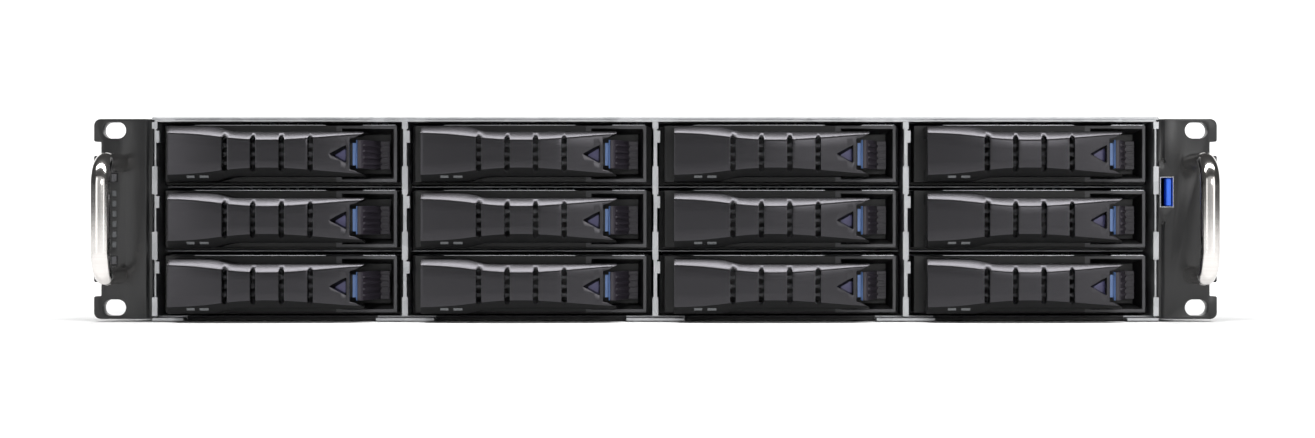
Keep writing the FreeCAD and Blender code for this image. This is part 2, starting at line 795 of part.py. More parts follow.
def make_cage():
    """Drive cage: uprights, shelves, top and floor, riveted from separate sheets."""
    plates = []
    for index in range(COLUMNS + 1):
        x = bay_left(index)
        low, high = around(x, s.divider / 2)
        tab = around(x, s.tab_half)
        hook = x + s.hook_reach
        if index == 0:
            low = -inner_half
            tab = (-outer_half, x + s.tab_half)
        if index == COLUMNS:
            high = inner_half
            tab = (x - s.tab_half, outer_half)
            hook = None
        plates.append(upright(f"upright_{index + 1}", low, high, tab, hook))
    shelf_along = (front + s.shelf_setback, cage_rear)
    for row in range(ROWS - 1):
        level = around(row_middle(row) - row_pitch / 2, s.shelf / 2)
        for column in range(COLUMNS):
            left = bay_left(column) + s.divider / 2
            sides = (left, left + bay_pitch - s.divider)
            plates.append(box(f"shelf_{row + 1}_{column + 1}", sides, shelf_along, level))
    full = (-inner_half, inner_half)
    plates.append(box("cage_top", full, (front, cage_rear), (half_in - s.shelf, half_in)))
    plates.append(box("cage_floor", full, (front + s.notch_depth, cage_rear), (-half_in, -half_in + s.shelf)))
    node(group("drive_cage", plates), "drive_cage")


def make_backplane():
    """Board behind the drives with air windows and a connector for each drive."""
    body = new_body("backplane_board")
    half_width = inner_half - s.tray_gap
    half_height = half_in - s.bezel_rim
    board = rectangle(-half_width, half_width, -half_height, half_height)
    windows = []
    connectors = []
    for row in range(ROWS):
        middle = row_middle(row)
        for column in range(COLUMNS):
            centre = bay_left(column) + bay_pitch / 2
            sides = around(centre, s.airway_width / 2)
            windows.append(rectangle(*sides, middle, middle + s.airway_height))
            plug = around(centre, s.plug_width / 2)
            low = middle - s.drive_height / 2 + s.head_gap
            level = (low, low + s.connector)
            along = (drive_end + s.run_gap, backplane_front)
            connectors.append(box(f"connector_{row + 1}_{column + 1}", plug, along, level))
    pad(body, "XZ", backplane_front, backplane_back, board, *windows)
    node(group("backplane", [body] + connectors), "backplane")


def make_chassis():
    """Folded steel base: floor with front tabs, sides, rear wall and power supply bay."""
    body = new_body("chassis_sheet")
    edge = [(-outer_half, body_depth), (-outer_half, front)]
    for column in range(COLUMNS):
        left = bay_left(column) + s.notch_edge
        right = bay_left(column + 1) - s.notch_edge
        back = front + s.notch_depth
        edge += [(left, front), (left, back), (right, back), (right, front)]
    edge += [(outer_half, front), (outer_half, body_depth)]
    pad(body, "XY", -half_out, -half_in, edge)
    wall_start = front + s.tab_depth
    for low, high in ((-outer_half, -inner_half), (inner_half, outer_half)):
        pad(body, "XZ", wall_start, body_depth, rectangle(low, high, -half_out, half_in))
    pad(body, "XZ", body_depth - s.sheet, body_depth, rectangle(-inner_half, inner_half, -half_in, half_in))
    bay = (supply_left - s.run_gap - s.supply_shelf, supply_left - s.run_gap)
    bay_top = half_in - s.supply_head
    pad(body, "XZ", supply_front, body_depth, rectangle(*bay, -half_in, bay_top))
    shelf_level = around(as_size(0), s.supply_shelf / 2)
    pad(body, "XZ", supply_front, body_depth, rectangle(bay[1], inner_half, *shelf_level))

    through = (body_depth - s.sheet * 2, body_depth + s.sheet)
    windows = []
    for index, base in enumerate(supply_bases):
        level = (base, base + supply_height + s.run_gap)
        sides = (supply_left - s.run_gap, supply_right + s.run_gap)
        windows.append(box(f"supply_window_{index + 1}", sides, through, level))
    windows.append(box("port_opening", port_sides, through, port_level))
    for index in range(SLOT_COVERS):
        sides = around(cover_middle(index), s.cover_opening / 2)
        inset = s.cover_width - s.cover_opening
        level = (cover_base + inset, cover_top - inset)
        windows.append(box(f"slot_opening_{index + 1}", sides, through, level))
    node(cut("chassis_base", body, *windows), "chassis_base")


def cover_middle(index):
    """The middle of an expansion slot, from the ports towards the left side."""
    return port_left - s.board_side_gap - s.cover_width / 2 - s.cover_pitch * index


def make_rear_plates():
    """Expansion slot covers and the plate around the rear ports, behind the rear wall."""
    along = (body_depth - s.sheet * 2, body_depth - s.sheet)
    covers = []
    for index in range(SLOT_COVERS):
        sides = around(cover_middle(index), s.cover_width / 2)
        covers.append(box(f"slot_cover_{index + 1}", sides, along, (cover_base, cover_top)))
    node(group("slot_covers", covers), "slot_covers")
    plate = box("port_plate", port_sides, (body_depth - s.sheet, body_depth), port_level)
    openings = []
    for name, sides, level in port_places():
        openings.append(box(name + "_opening", sides, (body_depth - s.sheet, body_depth), level))
    node(cut("port_shield", plate, *openings), "port_shield")


def port_places():
    """Rear ports as name, ends across and ends in height: two stacks, two jacks, a wide port."""
    ports = (
        ("port_stack", s.stack_width, s.stack_height),
        ("jack_stack", s.jack_width, s.jack_height * 2),
        ("jack_left", s.jack_width, s.jack_height),
        ("jack_right", s.jack_width, s.jack_height),
        ("wide_port", s.wide_port, s.jack_height),
    )
    right = port_right - s.port_gap
    places = []
    for name, width, height in ports:
        left = right - width
        places.append((name, (left, right), (board_top, board_top + height)))
        right = left - s.port_gap
    return places


def make_covers():
    """Fixed front cover and lift-off rear cover with side lips and a finger recess."""
    level = (half_in, half_out)
    node(box("front_cover", (-outer_half, outer_half), (front, cover_split), level), "front_cover")
    body = new_body("rear_cover")
    start = cover_split + s.cover_gap
    pad(body, "XZ", start, body_depth, rectangle(-outer_half, outer_half, *level))
    lip_outer = inner_half - s.lip_gap
    lips = []
    for low, high in ((-lip_outer, -lip_outer + s.lip), (lip_outer - s.lip, lip_outer)):
        lips.append(rectangle(low, high, half_in - s.lip_height, half_in))
    pad(body, "XZ", start, supply_front - s.grip_width, *lips)
    grip = around(start + s.grip_width * 2, s.grip_width / 2)
    half = s.grip_length / 2
    pocket(body, "XY", half_out - s.grip_depth, half_out, rectangle(-half, half, *grip))
    node(body, "rear_cover")


def make_ear(side):
    """Rack ear with its slots, edge notches and the housing along the chassis side."""
    label = "ear_right" if side > 0 else "ear_left"
    body = new_body(label + "_form")
    inner = outer_half * side
    outer = ear_half * side
    notch = (ear_half - s.ear_notch) * side
    corner = (ear_half - s.ear_corner) * side
    outline = [(inner, -ear_rise), (corner, -ear_rise), (outer, -ear_rise + s.ear_corner)]
    for low, high in ((-notch_high, -notch_low), (notch_low, notch_high)):
        outline += [(outer, low), (notch, low), (notch, high), (outer, high)]
    outline += [(outer, ear_rise - s.ear_corner), (corner, ear_rise), (inner, ear_rise)]
    slots = []
    for end in (-1, 1):
        slots.append(Slot(slot_half * side, s.slot_rise * (end / 2), s.slot_length, s.slot_width))
    pad(body, "XZ", ear_front, as_size(0), outline, *slots)
    block = (outer_half + s.ear_block) * side
    pad(body, "XZ", as_size(0), s.ear_block_depth, rectangle(inner, block, -ear_rise, ear_rise))
    groove_end = (outer_half + s.ear_groove) * side
    groove_back = ear_front + s.ear_groove_depth
    if side < 0:
        pocket(body, "XZ", ear_front, groove_back, rectangle(inner, groove_end, -ear_rise, ear_rise))
        pocket(body, "XZ", ear_front, key_back, *(key_loop(rise) for rise in key_rises))
        pocket(body, "XZ", ear_front, ear_front + s.light_depth, *light_loops())
    else:
        port = usb_port_loop(as_size(0))
        pocket(body, "XZ", ear_front, ear_front + s.usb_depth, port)
        low = s.usb_rise - s.usb_height
        high = s.usb_rise + s.usb_height
        for level in ((-ear_rise, low), (high, ear_rise)):
            pocket(body, "XZ", ear_front, groove_back, rectangle(inner, groove_end, *level))
    node(body, label)


def key_loop(rise):
    """The opening for a small button on the left ear."""
    half_width = s.key_width / 2 + s.key_room
    half_height = s.key_height / 2 + s.key_room
    return rectangle(*around(-slot_half, half_width), *around(rise, half_height))


def light_loops():
    """The indicator windows on the left ear."""
    loops = []
    for index in range(LIGHTS):
        middle = s.light_pitch * ((LIGHTS - 1) / 2 - index)
        loops.append(rectangle(*around(-slot_half, s.light_width / 2), *around(middle, s.light_height / 2)))
    return loops


def usb_port_loop(inset):
    """The USB opening on the right ear, drawn in by an inset."""
    half_width = s.usb_width / 2 - inset
    half_height = s.usb_height / 2 - inset
    return rectangle(*around(outer_half + s.usb_offset, half_width), *around(s.usb_rise, half_height))


def make_panel():
    """Buttons and indicator windows on the left ear, USB port on the right ear."""
    for name, rise in zip(("power_button", "id_button"), key_rises):
        start = ear_front - s.key_proud
        sides = around(-slot_half, s.key_width / 2)
        key = box(name, sides, (start, start + s.key_length), around(rise, s.key_height / 2))
        node(key, name)
    windows = []
    for index, loop in enumerate(light_loops()):
        window = new_body(f"light_{index + 1}")
        pad(window, "XZ", ear_front, ear_front + s.light_depth, loop)
        windows.append(window)
    node(group("indicator_lights", windows), "indicator_lights")
    shell = new_body("usb_shell")
    usb_back = ear_front + s.usb_depth
    pad(shell, "XZ", ear_front, usb_back, usb_port_loop(as_size(0)), usb_port_loop(s.usb_wall))
    pad(shell, "XZ", usb_back - s.usb_wall, usb_back, usb_port_loop(as_size(0)))
    middle = outer_half + s.usb_offset
    tongue_sides = (middle, middle + s.usb_tongue)
    tongue_level = around(s.usb_rise, s.usb_height / 2 - s.usb_wall * 2)
    tongue = box("usb_tongue", tongue_sides, (ear_front + s.usb_wall, usb_back - s.usb_wall), tongue_level)
    node(group("usb_port", [shell, tongue]), "usb_port")


def make_handles():
    """Two bent bar handles on the ears."""
    body = new_body("handle_right")
    x = outer_half + s.handle_offset
    bar_y = ear_front - s.handle_reach
    bend_y = bar_y + s.handle_bend
    straight = s.handle_half - s.handle_bend
    path = sketch(body, "YZ", x)
    runs = (
        ((ear_front, s.handle_half), (bend_y, s.handle_half)),
        ((bar_y, straight), (bar_y, -straight)),
        ((bend_y, -s.handle_half), (ear_front, -s.handle_half)),
    )
    rules = []
    bound = []
    for index, ends in enumerate(runs):
        points = [FreeCAD.Vector(y.value, as_size(z).value, 0) for y, z in ends]
        page_line = 2 * index
        path.addGeometry(Part.LineSegment(*points))
        for point, (y, z) in enumerate(ends, start=1):
            fix_point(rules, bound, page_line, point, y, z)
        if index < len(runs) - 1:
            following = runs[index + 1][0]
            corner = FreeCAD.Vector(following[0].value, as_size(following[1]).value, 0)
            path.addGeometry(arc_between(points[1], corner, s.handle_bend.value, 1))
            rules.append(Sketcher.Constraint("Coincident", page_line, 2, page_line + 1, 1))
            rules.append(Sketcher.Constraint("Coincident", page_line + 1, 2, page_line + 2, 1))
            bound.append((len(rules), s.handle_bend))
            rules.append(Sketcher.Constraint("Radius", page_line + 1, s.handle_bend.value))
    apply_rules(path, rules, bound)
    section = sketch(body, "XZ", -ear_front)
    draw(section, many_sided(HANDLE_SIDES, x, s.handle_half, s.handle_radius))
    doc.recompute()
    bar = body.newObject("PartDesign::AdditivePipe", "handle_bar")
    bar.Profile = section
    bar.Spine = (path, [f"Edge{number}" for number in range(1, 6)])
    doc.recompute()
    node(group("front_handles", [body, mirrored("handle_left", body)]), "front_handles")


def fan_middle(index):
    """The middle of a fan across the server."""
    return fan_pitch * (index - (FANS - 1) / 2)


def make_fans():
    """Fan wall with frames, stators and shafts, and the rotors that turn on them."""
    frames = []
    stator_back = fan_back + s.strut
    strut_half = s.strut / 2
    for index in range(FANS):
        x = fan_middle(index)
        frame = new_body(f"fan_frame_{index + 1}")
        square = rectangle(*around(x, fan_half), -fan_half, fan_half)
        pad(frame, "XZ", fan_front, fan_back, square, many_sided(BORE_SIDES, x, as_size(0), fan_bore))
        stator = new_body(f"fan_stator_{index + 1}")
        for half_width, half_height in ((s.hub_radius, s.hub_radius), (strut_half, fan_half)):
            loop = rectangle(*around(x, half_width), -half_height, half_height)
            pad(stator, "XZ", fan_back, stator_back, loop)
        shaft_front = fan_back - s.hub_length + s.fan_wall
        pad(stator, "XZ", shaft_front, fan_back, Circle(x, as_size(0), s.shaft_radius))
        frames += [frame, stator]
    end = inner_half - s.lip - s.lip_gap * 2
    ends = [-end]
    for index in range(FANS):
        ends += around(fan_middle(index), fan_half)
    ends.append(end)
    plate_along = (fan_front, fan_front + s.fan_wall)
    for index in range(FANS + 1):
        sides = (ends[2 * index], ends[2 * index + 1])
        frames.append(box(f"fan_plate_{index + 1}", sides, plate_along, (-half_in, fan_half)))
    for index in range(FANS):
        sides = around(fan_middle(index), fan_half)
        frames.append(box(f"fan_foot_{index + 1}", sides, (fan_front, fan_back), (-half_in, -fan_half)))
    node(group("fan_wall", frames), "fan_wall")

    rotor = new_body("rotor")
    hub_back = fan_back - s.blade_gap
    hub_front = hub_back - s.hub_length
    pad(rotor, "XZ", hub_front, hub_back, many_sided(HUB_SIDES, as_size(0), as_size(0), s.hub_radius))
    blade_middle = (hub_front + hub_back) / 2
    chord_low, chord_high = around(blade_middle, s.blade_chord / 2)
    half_lean = s.blade_sweep / 2
    blade = [
        (chord_low, -half_lean),
        (chord_low, -half_lean + s.blade_thick),
        (chord_high, half_lean),
        (chord_high, half_lean - s.blade_thick),
    ]
    root = s.hub_radius * math.cos(math.pi / HUB_SIDES) - s.blade_thick
    tip = fan_bore - s.blade_gap * 2
    first = pad(rotor, "YZ", root, tip, blade)
    blades = rotor.newObject("PartDesign::PolarPattern", "rotor_blades")
    blades.Originals = [first]
    blades.Axis = (origin_feature(rotor, "Y_Axis"), [""])
    blades.Angle = 360
    blades.Occurrences = BLADES
    rotor.Tip = blades
    bore_start = hub_front + s.fan_wall
    bore_radius = s.shaft_radius + s.hinge_play
    bore = rod("rotor_bore", "Y", (as_size(0), bore_start, as_size(0)), bore_radius, fan_back - bore_start)
    spinner = cut("rotor_bored", rotor, bore)
    for index in range(FANS):
        label = f"fan_rotor_{index + 1}"
        copy = node(group(label, [spinner]), label)
        place(copy, fan_middle(index), 0, 0)


def make_board():
    """Main board on stand-offs with memory modules and rear ports, and two heat sinks."""
    sides = (board_left, board_left + s.board_width)
    pieces = [box("board", sides, (board_front, board_back), (board_bottom, board_top))]
    post_sides = (sides[0] + s.standoff_inset, sides[1] - s.standoff_inset)
    post_along = (board_front + s.standoff_inset, board_back - s.standoff_inset)
    for column, x in enumerate(post_sides):
        for row, y in enumerate(post_along):
            post = doc.addObject("Part::Prism", f"standoff_{column + 1}_{row + 1}")
            post.Polygon = 6
            bind(post, "Circumradius", s.board_rise / 2)
            bind(post, "Height", s.board_rise)
            place(post, x, y, -half_in)
            pieces.append(post)
    memory_level = (board_top, board_top + s.memory_height)
    for sink, x in enumerate(sink_places):
        for end in (-1, 1):
            for index in range(MEMORY_BANK // 2):
                offset = s.sink_width / 2 + s.memory_pitch * (index + 1)
                stick = around(x + offset * end, s.memory_thick / 2)
                along = around(sink_y, s.memory_length / 2)
                name = f"memory_{sink + 1}_{'left' if end < 0 else 'right'}_{index + 1}"
                pieces.append(box(name, stick, along, memory_level))
    for name, sides, level in port_places():
        shell = box(name, sides, (board_back - s.port_depth, body_depth), level)
        inner = (sides[0] + s.port_wall, sides[1] - s.port_wall)
        mouth = (level[0] + s.port_wall, level[1] - s.port_wall)
        socket = box(name + "_mouth", inner, (board_back - s.port_depth / 2, body_depth + s.port_wall), mouth)
        pieces.append(cut(name + "_shell", shell, socket))
    node(group("motherboard", pieces), "motherboard")

    sink = new_body("heat_sink")
    half_width = s.sink_width / 2
    along = around(sink_y, s.sink_length / 2)
    base_top = board_top + s.sink_base
    pad(sink, "XZ", *along, rectangle(-half_width, half_width, board_top, base_top))
    fin_loop = rectangle(-half_width, -half_width + s.fin, base_top, board_top + s.sink_height)
    first = pad(sink, "XZ", *along, fin_loop)
    fins = sink.newObject("PartDesign::LinearPattern", "sink_fins")
    fins.Originals = [first]
    fins.Direction = (origin_feature(sink, "X_Axis"), [""])
    fins.Occurrences = FINS
    bind(fins, "Length", s.sink_width - s.fin)
    sink.Tip = fins
    copies = []
    for index, x in enumerate(sink_places):
        copy = group(f"heat_sink_{index + 1}", [sink])
        place(copy, x, 0, 0)
        copies.append(copy)
    node(group("heatsinks", copies), "heatsinks")


def make_supplies():
    """Two plug-in power supplies with inlet, fan recess, pull handle and a thumb latch."""
    case = new_body("supply_case")
    height = supply_height
    pad(case, "XZ", supply_front, supply_face, rectangle(supply_left, supply_right, as_size(0), height))
    middle = height / 2
    inlet_x = supply_left + s.latch_width + s.inlet_width / 2
    inlet_sides = around(inlet_x, s.inlet_width / 2)
    inlet_level = (s.inlet_pin * 2, s.inlet_pin * 2 + s.inlet_height)
    grille_x = supply_right - s.grille_half - s.supply_edge
    pull_level = (height - s.pull_height - s.supply_edge, height - s.supply_edge)
    pull_left = inlet_x - s.pull_width / 2
    pull_back = supply_face + s.pull_reach
    loop = [
        (pull_left, supply_face),
        (pull_left, pull_back),
        (pull_left + s.pull_width, pull_back),
        (pull_left + s.pull_width, supply_face),
        (pull_left + s.pull_width - s.pull_thick, supply_face),
        (pull_left + s.pull_width - s.pull_thick, pull_back - s.pull_thick),
        (pull_left + s.pull_thick, pull_back - s.pull_thick),
        (pull_left + s.pull_thick, supply_face),
    ]
    pad(case, "XY", *pull_level, loop)
    inlet = box("inlet_socket", inlet_sides, (supply_face - s.inlet_depth, supply_face), inlet_level)
    grille_sides = around(grille_x, s.grille_half)
    grille_along = (supply_face - s.grille_depth, supply_face)
    grille = box("supply_grille", grille_sides, grille_along, around(middle, s.grille_half))
    latch_sides = (supply_left, supply_left + s.latch_thick + s.latch_travel + s.key_room)
    latch_level = around(middle, s.latch_height / 2)
    latch_room = around(middle, s.latch_height / 2 + s.key_room)
    latch_start = supply_face - s.latch_reach
    groove = box("latch_groove", latch_sides, (latch_start, supply_face), latch_room)
    shell = cut("supply_shell", case, inlet, grille, groove)
    pins = []
    for index in range(INLET_PINS):
        x = inlet_x + s.inlet_pitch * (index - (INLET_PINS - 1) / 2)
        level = around((inlet_level[0] + inlet_level[1]) / 2, s.inlet_pin)
        along = (supply_face - s.inlet_depth, supply_face - s.inlet_pin)
        pins.append(box(f"inlet_pin_{index + 1}", around(x, s.inlet_pin / 2), along, level))
    tab = box(
        "latch_tab",
        (supply_left, supply_left + s.latch_thick),
        (latch_start + s.key_room, supply_face + s.latch_reach),
        latch_level,
    )
    for index, base in enumerate(supply_bases):
        for kind, pieces in (("power_supply", [shell] + pins), ("psu_latch", [tab])):
            label = f"{kind}_{index + 1}"
            copy = node(group(label, pieces), label)
            place(copy, 0, 0, base)


def check_and_write():
    """Every object has to be sound before the sub-parts are written."""
    doc.recompute()
    for thing in doc.Objects:
        faults = {"Invalid", "Error"} & set(thing.State)
        if faults:
            raise RuntimeError(f"{thing.Label} is {', '.join(sorted(faults))}")
    for thing in nodes:
        if thing.Shape.isNull() or not thing.Shape.isValid() or not thing.Shape.Solids:
            raise RuntimeError(f"{thing.Label} has no sound shape")
    os.makedirs("parts", exist_ok=True)
    for thing in nodes:
        thing.Shape.exportStep(f"parts/{thing.Label}.step")


doc = FreeCAD.newDocument("rack_server")
nodes = []
sheet = doc.addObject("Spreadsheet::Sheet", "Sizes")
for line, (size_name, size_value, size_note) in enumerate(SIZES, start=1):
    sheet.set(f"A{line}", size_note)
    sheet.set(f"B{line}", str(size_value))
    sheet.setAlias(f"B{line}", size_name)
doc.recompute()
s = SimpleNamespace(**{name: Size(value, f"Sizes.{name}") for name, value, note in SIZES})

# Bays and chassis
bay_pitch = s.drive_width + (s.rail + s.tray_gap) * 2 + s.divider
row_pitch = s.drive_height + s.tray_floor + s.run_gap + s.head_gap + s.shelf
inner_half = bay_pitch * (COLUMNS / 2) - s.divider / 2 + s.liner
outer_half = inner_half + s.sheet
half_in = row_pitch * (ROWS / 2) + s.shelf / 2
half_out = half_in + s.sheet
front = -s.cage_reach

# Tray, lever and release button, from the bay's left edge and the row's middle
bezel_left = s.bezel_side_gap
bezel_right = bay_pitch - s.bezel_side_gap
bezel_half = row_pitch / 2 - s.bezel_row_gap
bezel_front = front + s.bezel_setback
bezel_back = bezel_front + s.bezel_depth
tray_bottom = s.shelf / 2 + s.run_gap - row_pitch / 2
drive_bottom = tray_bottom + s.tray_floor
drive_start = bezel_back + s.drive_gap
drive_end = drive_start + s.drive_length
lever_left = bezel_left + s.lever_inset
lever_tip = bezel_right - s.thumb_room
lever_middle = -s.lever_drop
lever_back = bezel_front - s.lever_back_gap
root_half = bezel_half - s.lever_edge_gap
waist_half = root_half - s.waist_drop
vent_half = waist_half - s.vent_edge
bevel_y = front - s.bevel_reach
crest_y = front - s.crest
hinge_x = lever_left + s.hinge_inset
hinge_y = front - s.hinge_reach
button_face = front - s.button_front
button_left = lever_tip - s.button_rim - s.button_room

# Front to back
backplane_front = drive_end + s.connector
backplane_back = backplane_front + s.backplane
cage_rear = backplane_front
fan_front = backplane_back + s.fan_space
fan_back = fan_front + s.fan_depth
board_front = fan_back + s.board_space
board_back = board_front + s.board_length
body_depth = board_back + s.board_rear_gap + s.sheet
cover_split = backplane_back + s.connector

# Ears and panel
slot_half = outer_half + s.slot_offset
ear_half = slot_half + s.ear_margin
ear_rise = s.slot_rise / 2 + s.ear_edge
ear_front = -s.ear_depth
notch_high = s.slot_rise / 2 - s.ear_edge
notch_low = notch_high - s.ear_notch_height
key_rises = (s.key_rise, -s.key_rise)
key_back = ear_front - s.key_proud + s.key_length + s.key_travel + s.key_room

# Fans, board and power supplies
fan_half = half_in - s.fan_gap
fan_bore = fan_half - s.fan_wall
fan_pitch = inner_half * 2 / FANS
board_left = s.board_side_gap - inner_half
board_bottom = s.board_rise - half_in
board_top = board_bottom + s.board_thick
sink_y = board_front + s.sink_setback
sink_places = around(board_left + s.board_width / 2, s.sink_spread)
port_right = board_left + s.board_width - s.board_side_gap
port_left = port_right - s.port_window
port_sides = (port_left, port_right)
port_level = (board_bottom, board_bottom + s.port_window_height)
cover_base = board_top
cover_top = cover_base + s.cover_height
supply_right = inner_half - s.supply_side_gap
supply_left = supply_right - s.supply_width
supply_face = body_depth + s.supply_proud
supply_front = supply_face - s.supply_length
supply_height = (half_in * 2 - s.supply_shelf) / 2 - s.run_gap - s.supply_head
supply_bases = (s.run_gap - half_in, s.supply_shelf / 2 + s.run_gap)

make_trays()
make_cage()
make_backplane()
make_chassis()
make_rear_plates()
make_covers()
for ear_side in (-1, 1):
    make_ear(ear_side)
make_panel()
make_handles()
make_fans()
make_board()
make_supplies()
check_and_write()
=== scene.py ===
"""A 2U rack server with twelve front drive trays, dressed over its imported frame."""
import logging
import math
from dataclasses import dataclass
from enum import Enum
from functools import cache
from itertools import product
from typing import Callable, Iterable, Sequence, Union

import bmesh
import bpy
from mathutils import Matrix, Vector


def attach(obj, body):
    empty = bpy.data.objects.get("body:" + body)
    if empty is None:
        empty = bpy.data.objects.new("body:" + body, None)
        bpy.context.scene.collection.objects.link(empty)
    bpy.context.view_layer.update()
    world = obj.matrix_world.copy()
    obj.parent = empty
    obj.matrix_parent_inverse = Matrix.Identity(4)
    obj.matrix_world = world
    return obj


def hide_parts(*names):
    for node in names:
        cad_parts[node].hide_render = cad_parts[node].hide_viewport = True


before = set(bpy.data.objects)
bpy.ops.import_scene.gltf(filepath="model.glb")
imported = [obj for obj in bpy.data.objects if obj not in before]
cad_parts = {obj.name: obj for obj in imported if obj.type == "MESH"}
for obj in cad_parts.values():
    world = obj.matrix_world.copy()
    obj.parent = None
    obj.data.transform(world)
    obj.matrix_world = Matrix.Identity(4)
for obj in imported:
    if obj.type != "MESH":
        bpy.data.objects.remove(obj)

MM = 0.001
ROWS, COLUMNS = 3, 4
ROW_PITCH, BAY_PITCH = 28.1, 107.6
BOARD_TOP = -32.55
CARD_SLOTS = (-80.1, -100.4, -120.7, -141.0, -161.3, -181.6)
SMUDGE_SIZE = 38.0
MERGE_REACH, WELD_REACH = 0.001, 0.002
EDGE_SEGMENTS = 2
EDGE_ANGLE, CARVED_ANGLE, BUILT_ANGLE = 34.0, 32.0, 40.0
UPWARD, BACKWARD = (0.0, 0.0, 0.0), (-math.pi / 2, 0.0, 0.0)
RIGHTWARD, LEFTWARD = (0.0, math.pi / 2, 0.0), (0.0, -math.pi / 2, 0.0)
LOG = logging.getLogger("rack_server")

Colour = tuple[float, float, float, float]
Shown = tuple[int, int, int]
Point = tuple[float, float, float]
Span = tuple[float, float]
Form = bmesh.types.BMesh
Mesh = bpy.types.Mesh
Thing = bpy.types.Object
Value = Union["Field", float, int, Sequence[float]]


def linear(shown: Shown) -> Colour:
    """Turns a display colour of 0 to 255 into the linear colour of a shader.

    Args:
        shown: red, green and blue as displayed.

    Returns:
        Linear red, green, blue and an alpha of one.
    """
    parts = []
    for part in (level / 255 for level in shown):
        parts.append(part / 12.92 if part <= 0.04045 else ((part + 0.055) / 1.055) ** 2.4)
    return (*parts, 1.0)


def about(middle: float, half: float) -> Span:
    """Span that reaches equally far to both sides of its middle."""
    return (middle - half, middle + half)


def operator(operation: str, swapped: bool = False) -> Callable[..., "Field"]:
    """Makes an operator of Field.

    Args:
        operation: Blender's name of the operation.
        swapped: whether the field stands behind the other value.

    Returns:
        A method that adds a Math node.
    """

    def method(self: "Field", other: Value = 0.0) -> "Field":
        """Adds the Math node."""
        first, second = (other, self) if swapped else (self, other)
        return self.graph.node("ShaderNodeMath", {0: first, 1: second}, operation=operation)

    return method


class Field:
    """A node socket that takes part in Python expressions."""

    def __init__(self, graph: "Graph", socket: bpy.types.NodeSocket) -> None:
        """Wraps one output socket of a node."""
        self.graph = graph
        self.socket = socket

    __add__ = operator("ADD")
    __sub__ = operator("SUBTRACT")
    __rsub__ = operator("SUBTRACT", swapped=True)
    __mul__ = operator("MULTIPLY")
    __truediv__ = operator("DIVIDE")
    __mod__ = operator("FLOORED_MODULO")
    __gt__ = operator("GREATER_THAN")
    __lt__ = operator("LESS_THAN")
    __abs__ = operator("ABSOLUTE")
    floor = operator("FLOOR")

    def within(self, span: Span) -> "Field":
        """One between the two ends of a span, else zero."""
        return (self > span[0]) * (self < span[1])


class Graph:
    """A node tree that is written as calls and expressions."""

    def __init__(self, tree: bpy.types.NodeTree) -> None:
        """Takes an empty node tree."""
        self.tree = tree

    def node(
        self,
        kind: str,
        sockets: dict[int | str, object] | None = None,
        output: int | str = 0,
        **settings: object,
    ) -> Field:
        """Adds any node.

        Args:
            kind: Blender's node type.
            sockets: values or links of the node's inputs.
            output: output socket to hand back.
            settings: properties of the node, set first.

        Returns:
            The chosen output.
        """
        made = self.tree.nodes.new(kind)
        for key, value in settings.items():
            setattr(made, key, value)
        for key, value in (sockets or {}).items():
            for link in value if isinstance(value, list) else [value]:
                if isinstance(link, Field):
                    self.tree.links.new(link.socket, made.inputs[key])
                else:
                    made.inputs[key].default_value = link
        return Field(self, made.outputs[output] if made.outputs else None)


class Shader(Graph):
    """A material's node tree on Object coordinates in millimetres."""

    def __init__(self, name: str) -> None:
        """Makes an empty node material.

        Args:
            name: name of the material.
        """
        self.material = bpy.data.materials.new(name)
        self.material.use_nodes = True
        super().__init__(self.material.node_tree)
        self.tree.nodes.clear()
        sockets = {0: self.node("ShaderNodeTexCoord", output="Object"), "Scale": 1 / MM}
        self.place = self.node("ShaderNodeVectorMath", sockets, operation="SCALE")
        self.axes = [self.node("ShaderNodeSeparateXYZ", {0: self.place}, axis) for axis in range(3)]

    def mix(self, amount: Value, first: Value, second: Value) -> Field:
        """Mixes two colours, with zero for the first and one for the second."""
        return self.node("ShaderNodeMix", {0: amount, 6: first, 7: second}, 2, data_type="RGBA")

    def noise(self, size: float, detail: float = 2.0, stretch: Point = (1.0, 1.0, 1.0)) -> Field:
        """Soft noise.

        Args:
            size: width of a lump in millimetres.
            detail: octaves of finer noise.
            stretch: how much longer the lumps are along each axis.

        Returns:
            A value around one half.
        """
        scale = tuple(1 / (size * part) for part in stretch)
        place = self.node("ShaderNodeMapping", {0: self.place, "Scale": scale})
        return self.node("ShaderNodeTexNoise", {"Vector": place, "Scale": 1.0, "Detail": detail})

    def surface(self, sample: "Sample", fixed: dict[str, object]) -> bpy.types.Material:
        """Ends the material in one Principled shader.

        Args:
            sample: what varies over the surface.
            fixed: other sockets of the shader.

        Returns:
            The finished material.
        """
        sockets = {
            "Base Color": sample.colour,
            "Roughness": sample.roughness,
            "Metallic": sample.metallic,
            "Normal": self.node("ShaderNodeBump", {"Distance": MM, "Height": sample.height}),
        }
        shader = self.node("ShaderNodeBsdfPrincipled", {**fixed, **sockets})
        self.node("ShaderNodeOutputMaterial", {"Surface": shader})
        return self.material


@dataclass
class Sample:
    """What a coat gives at each point of a surface."""

    colour: Value
    roughness: Value
    metallic: Value
    height: Value


class Pattern(Enum):
    """Fine structure of a coat."""

    GRAIN = "eroded mould grain"
    PEEL = "powder coat"
    SPANGLE = "zinc crystals"
    BRUSHED = "drawn lines"
    CAST = "cast skin"
    TRACKS = "board tracks"


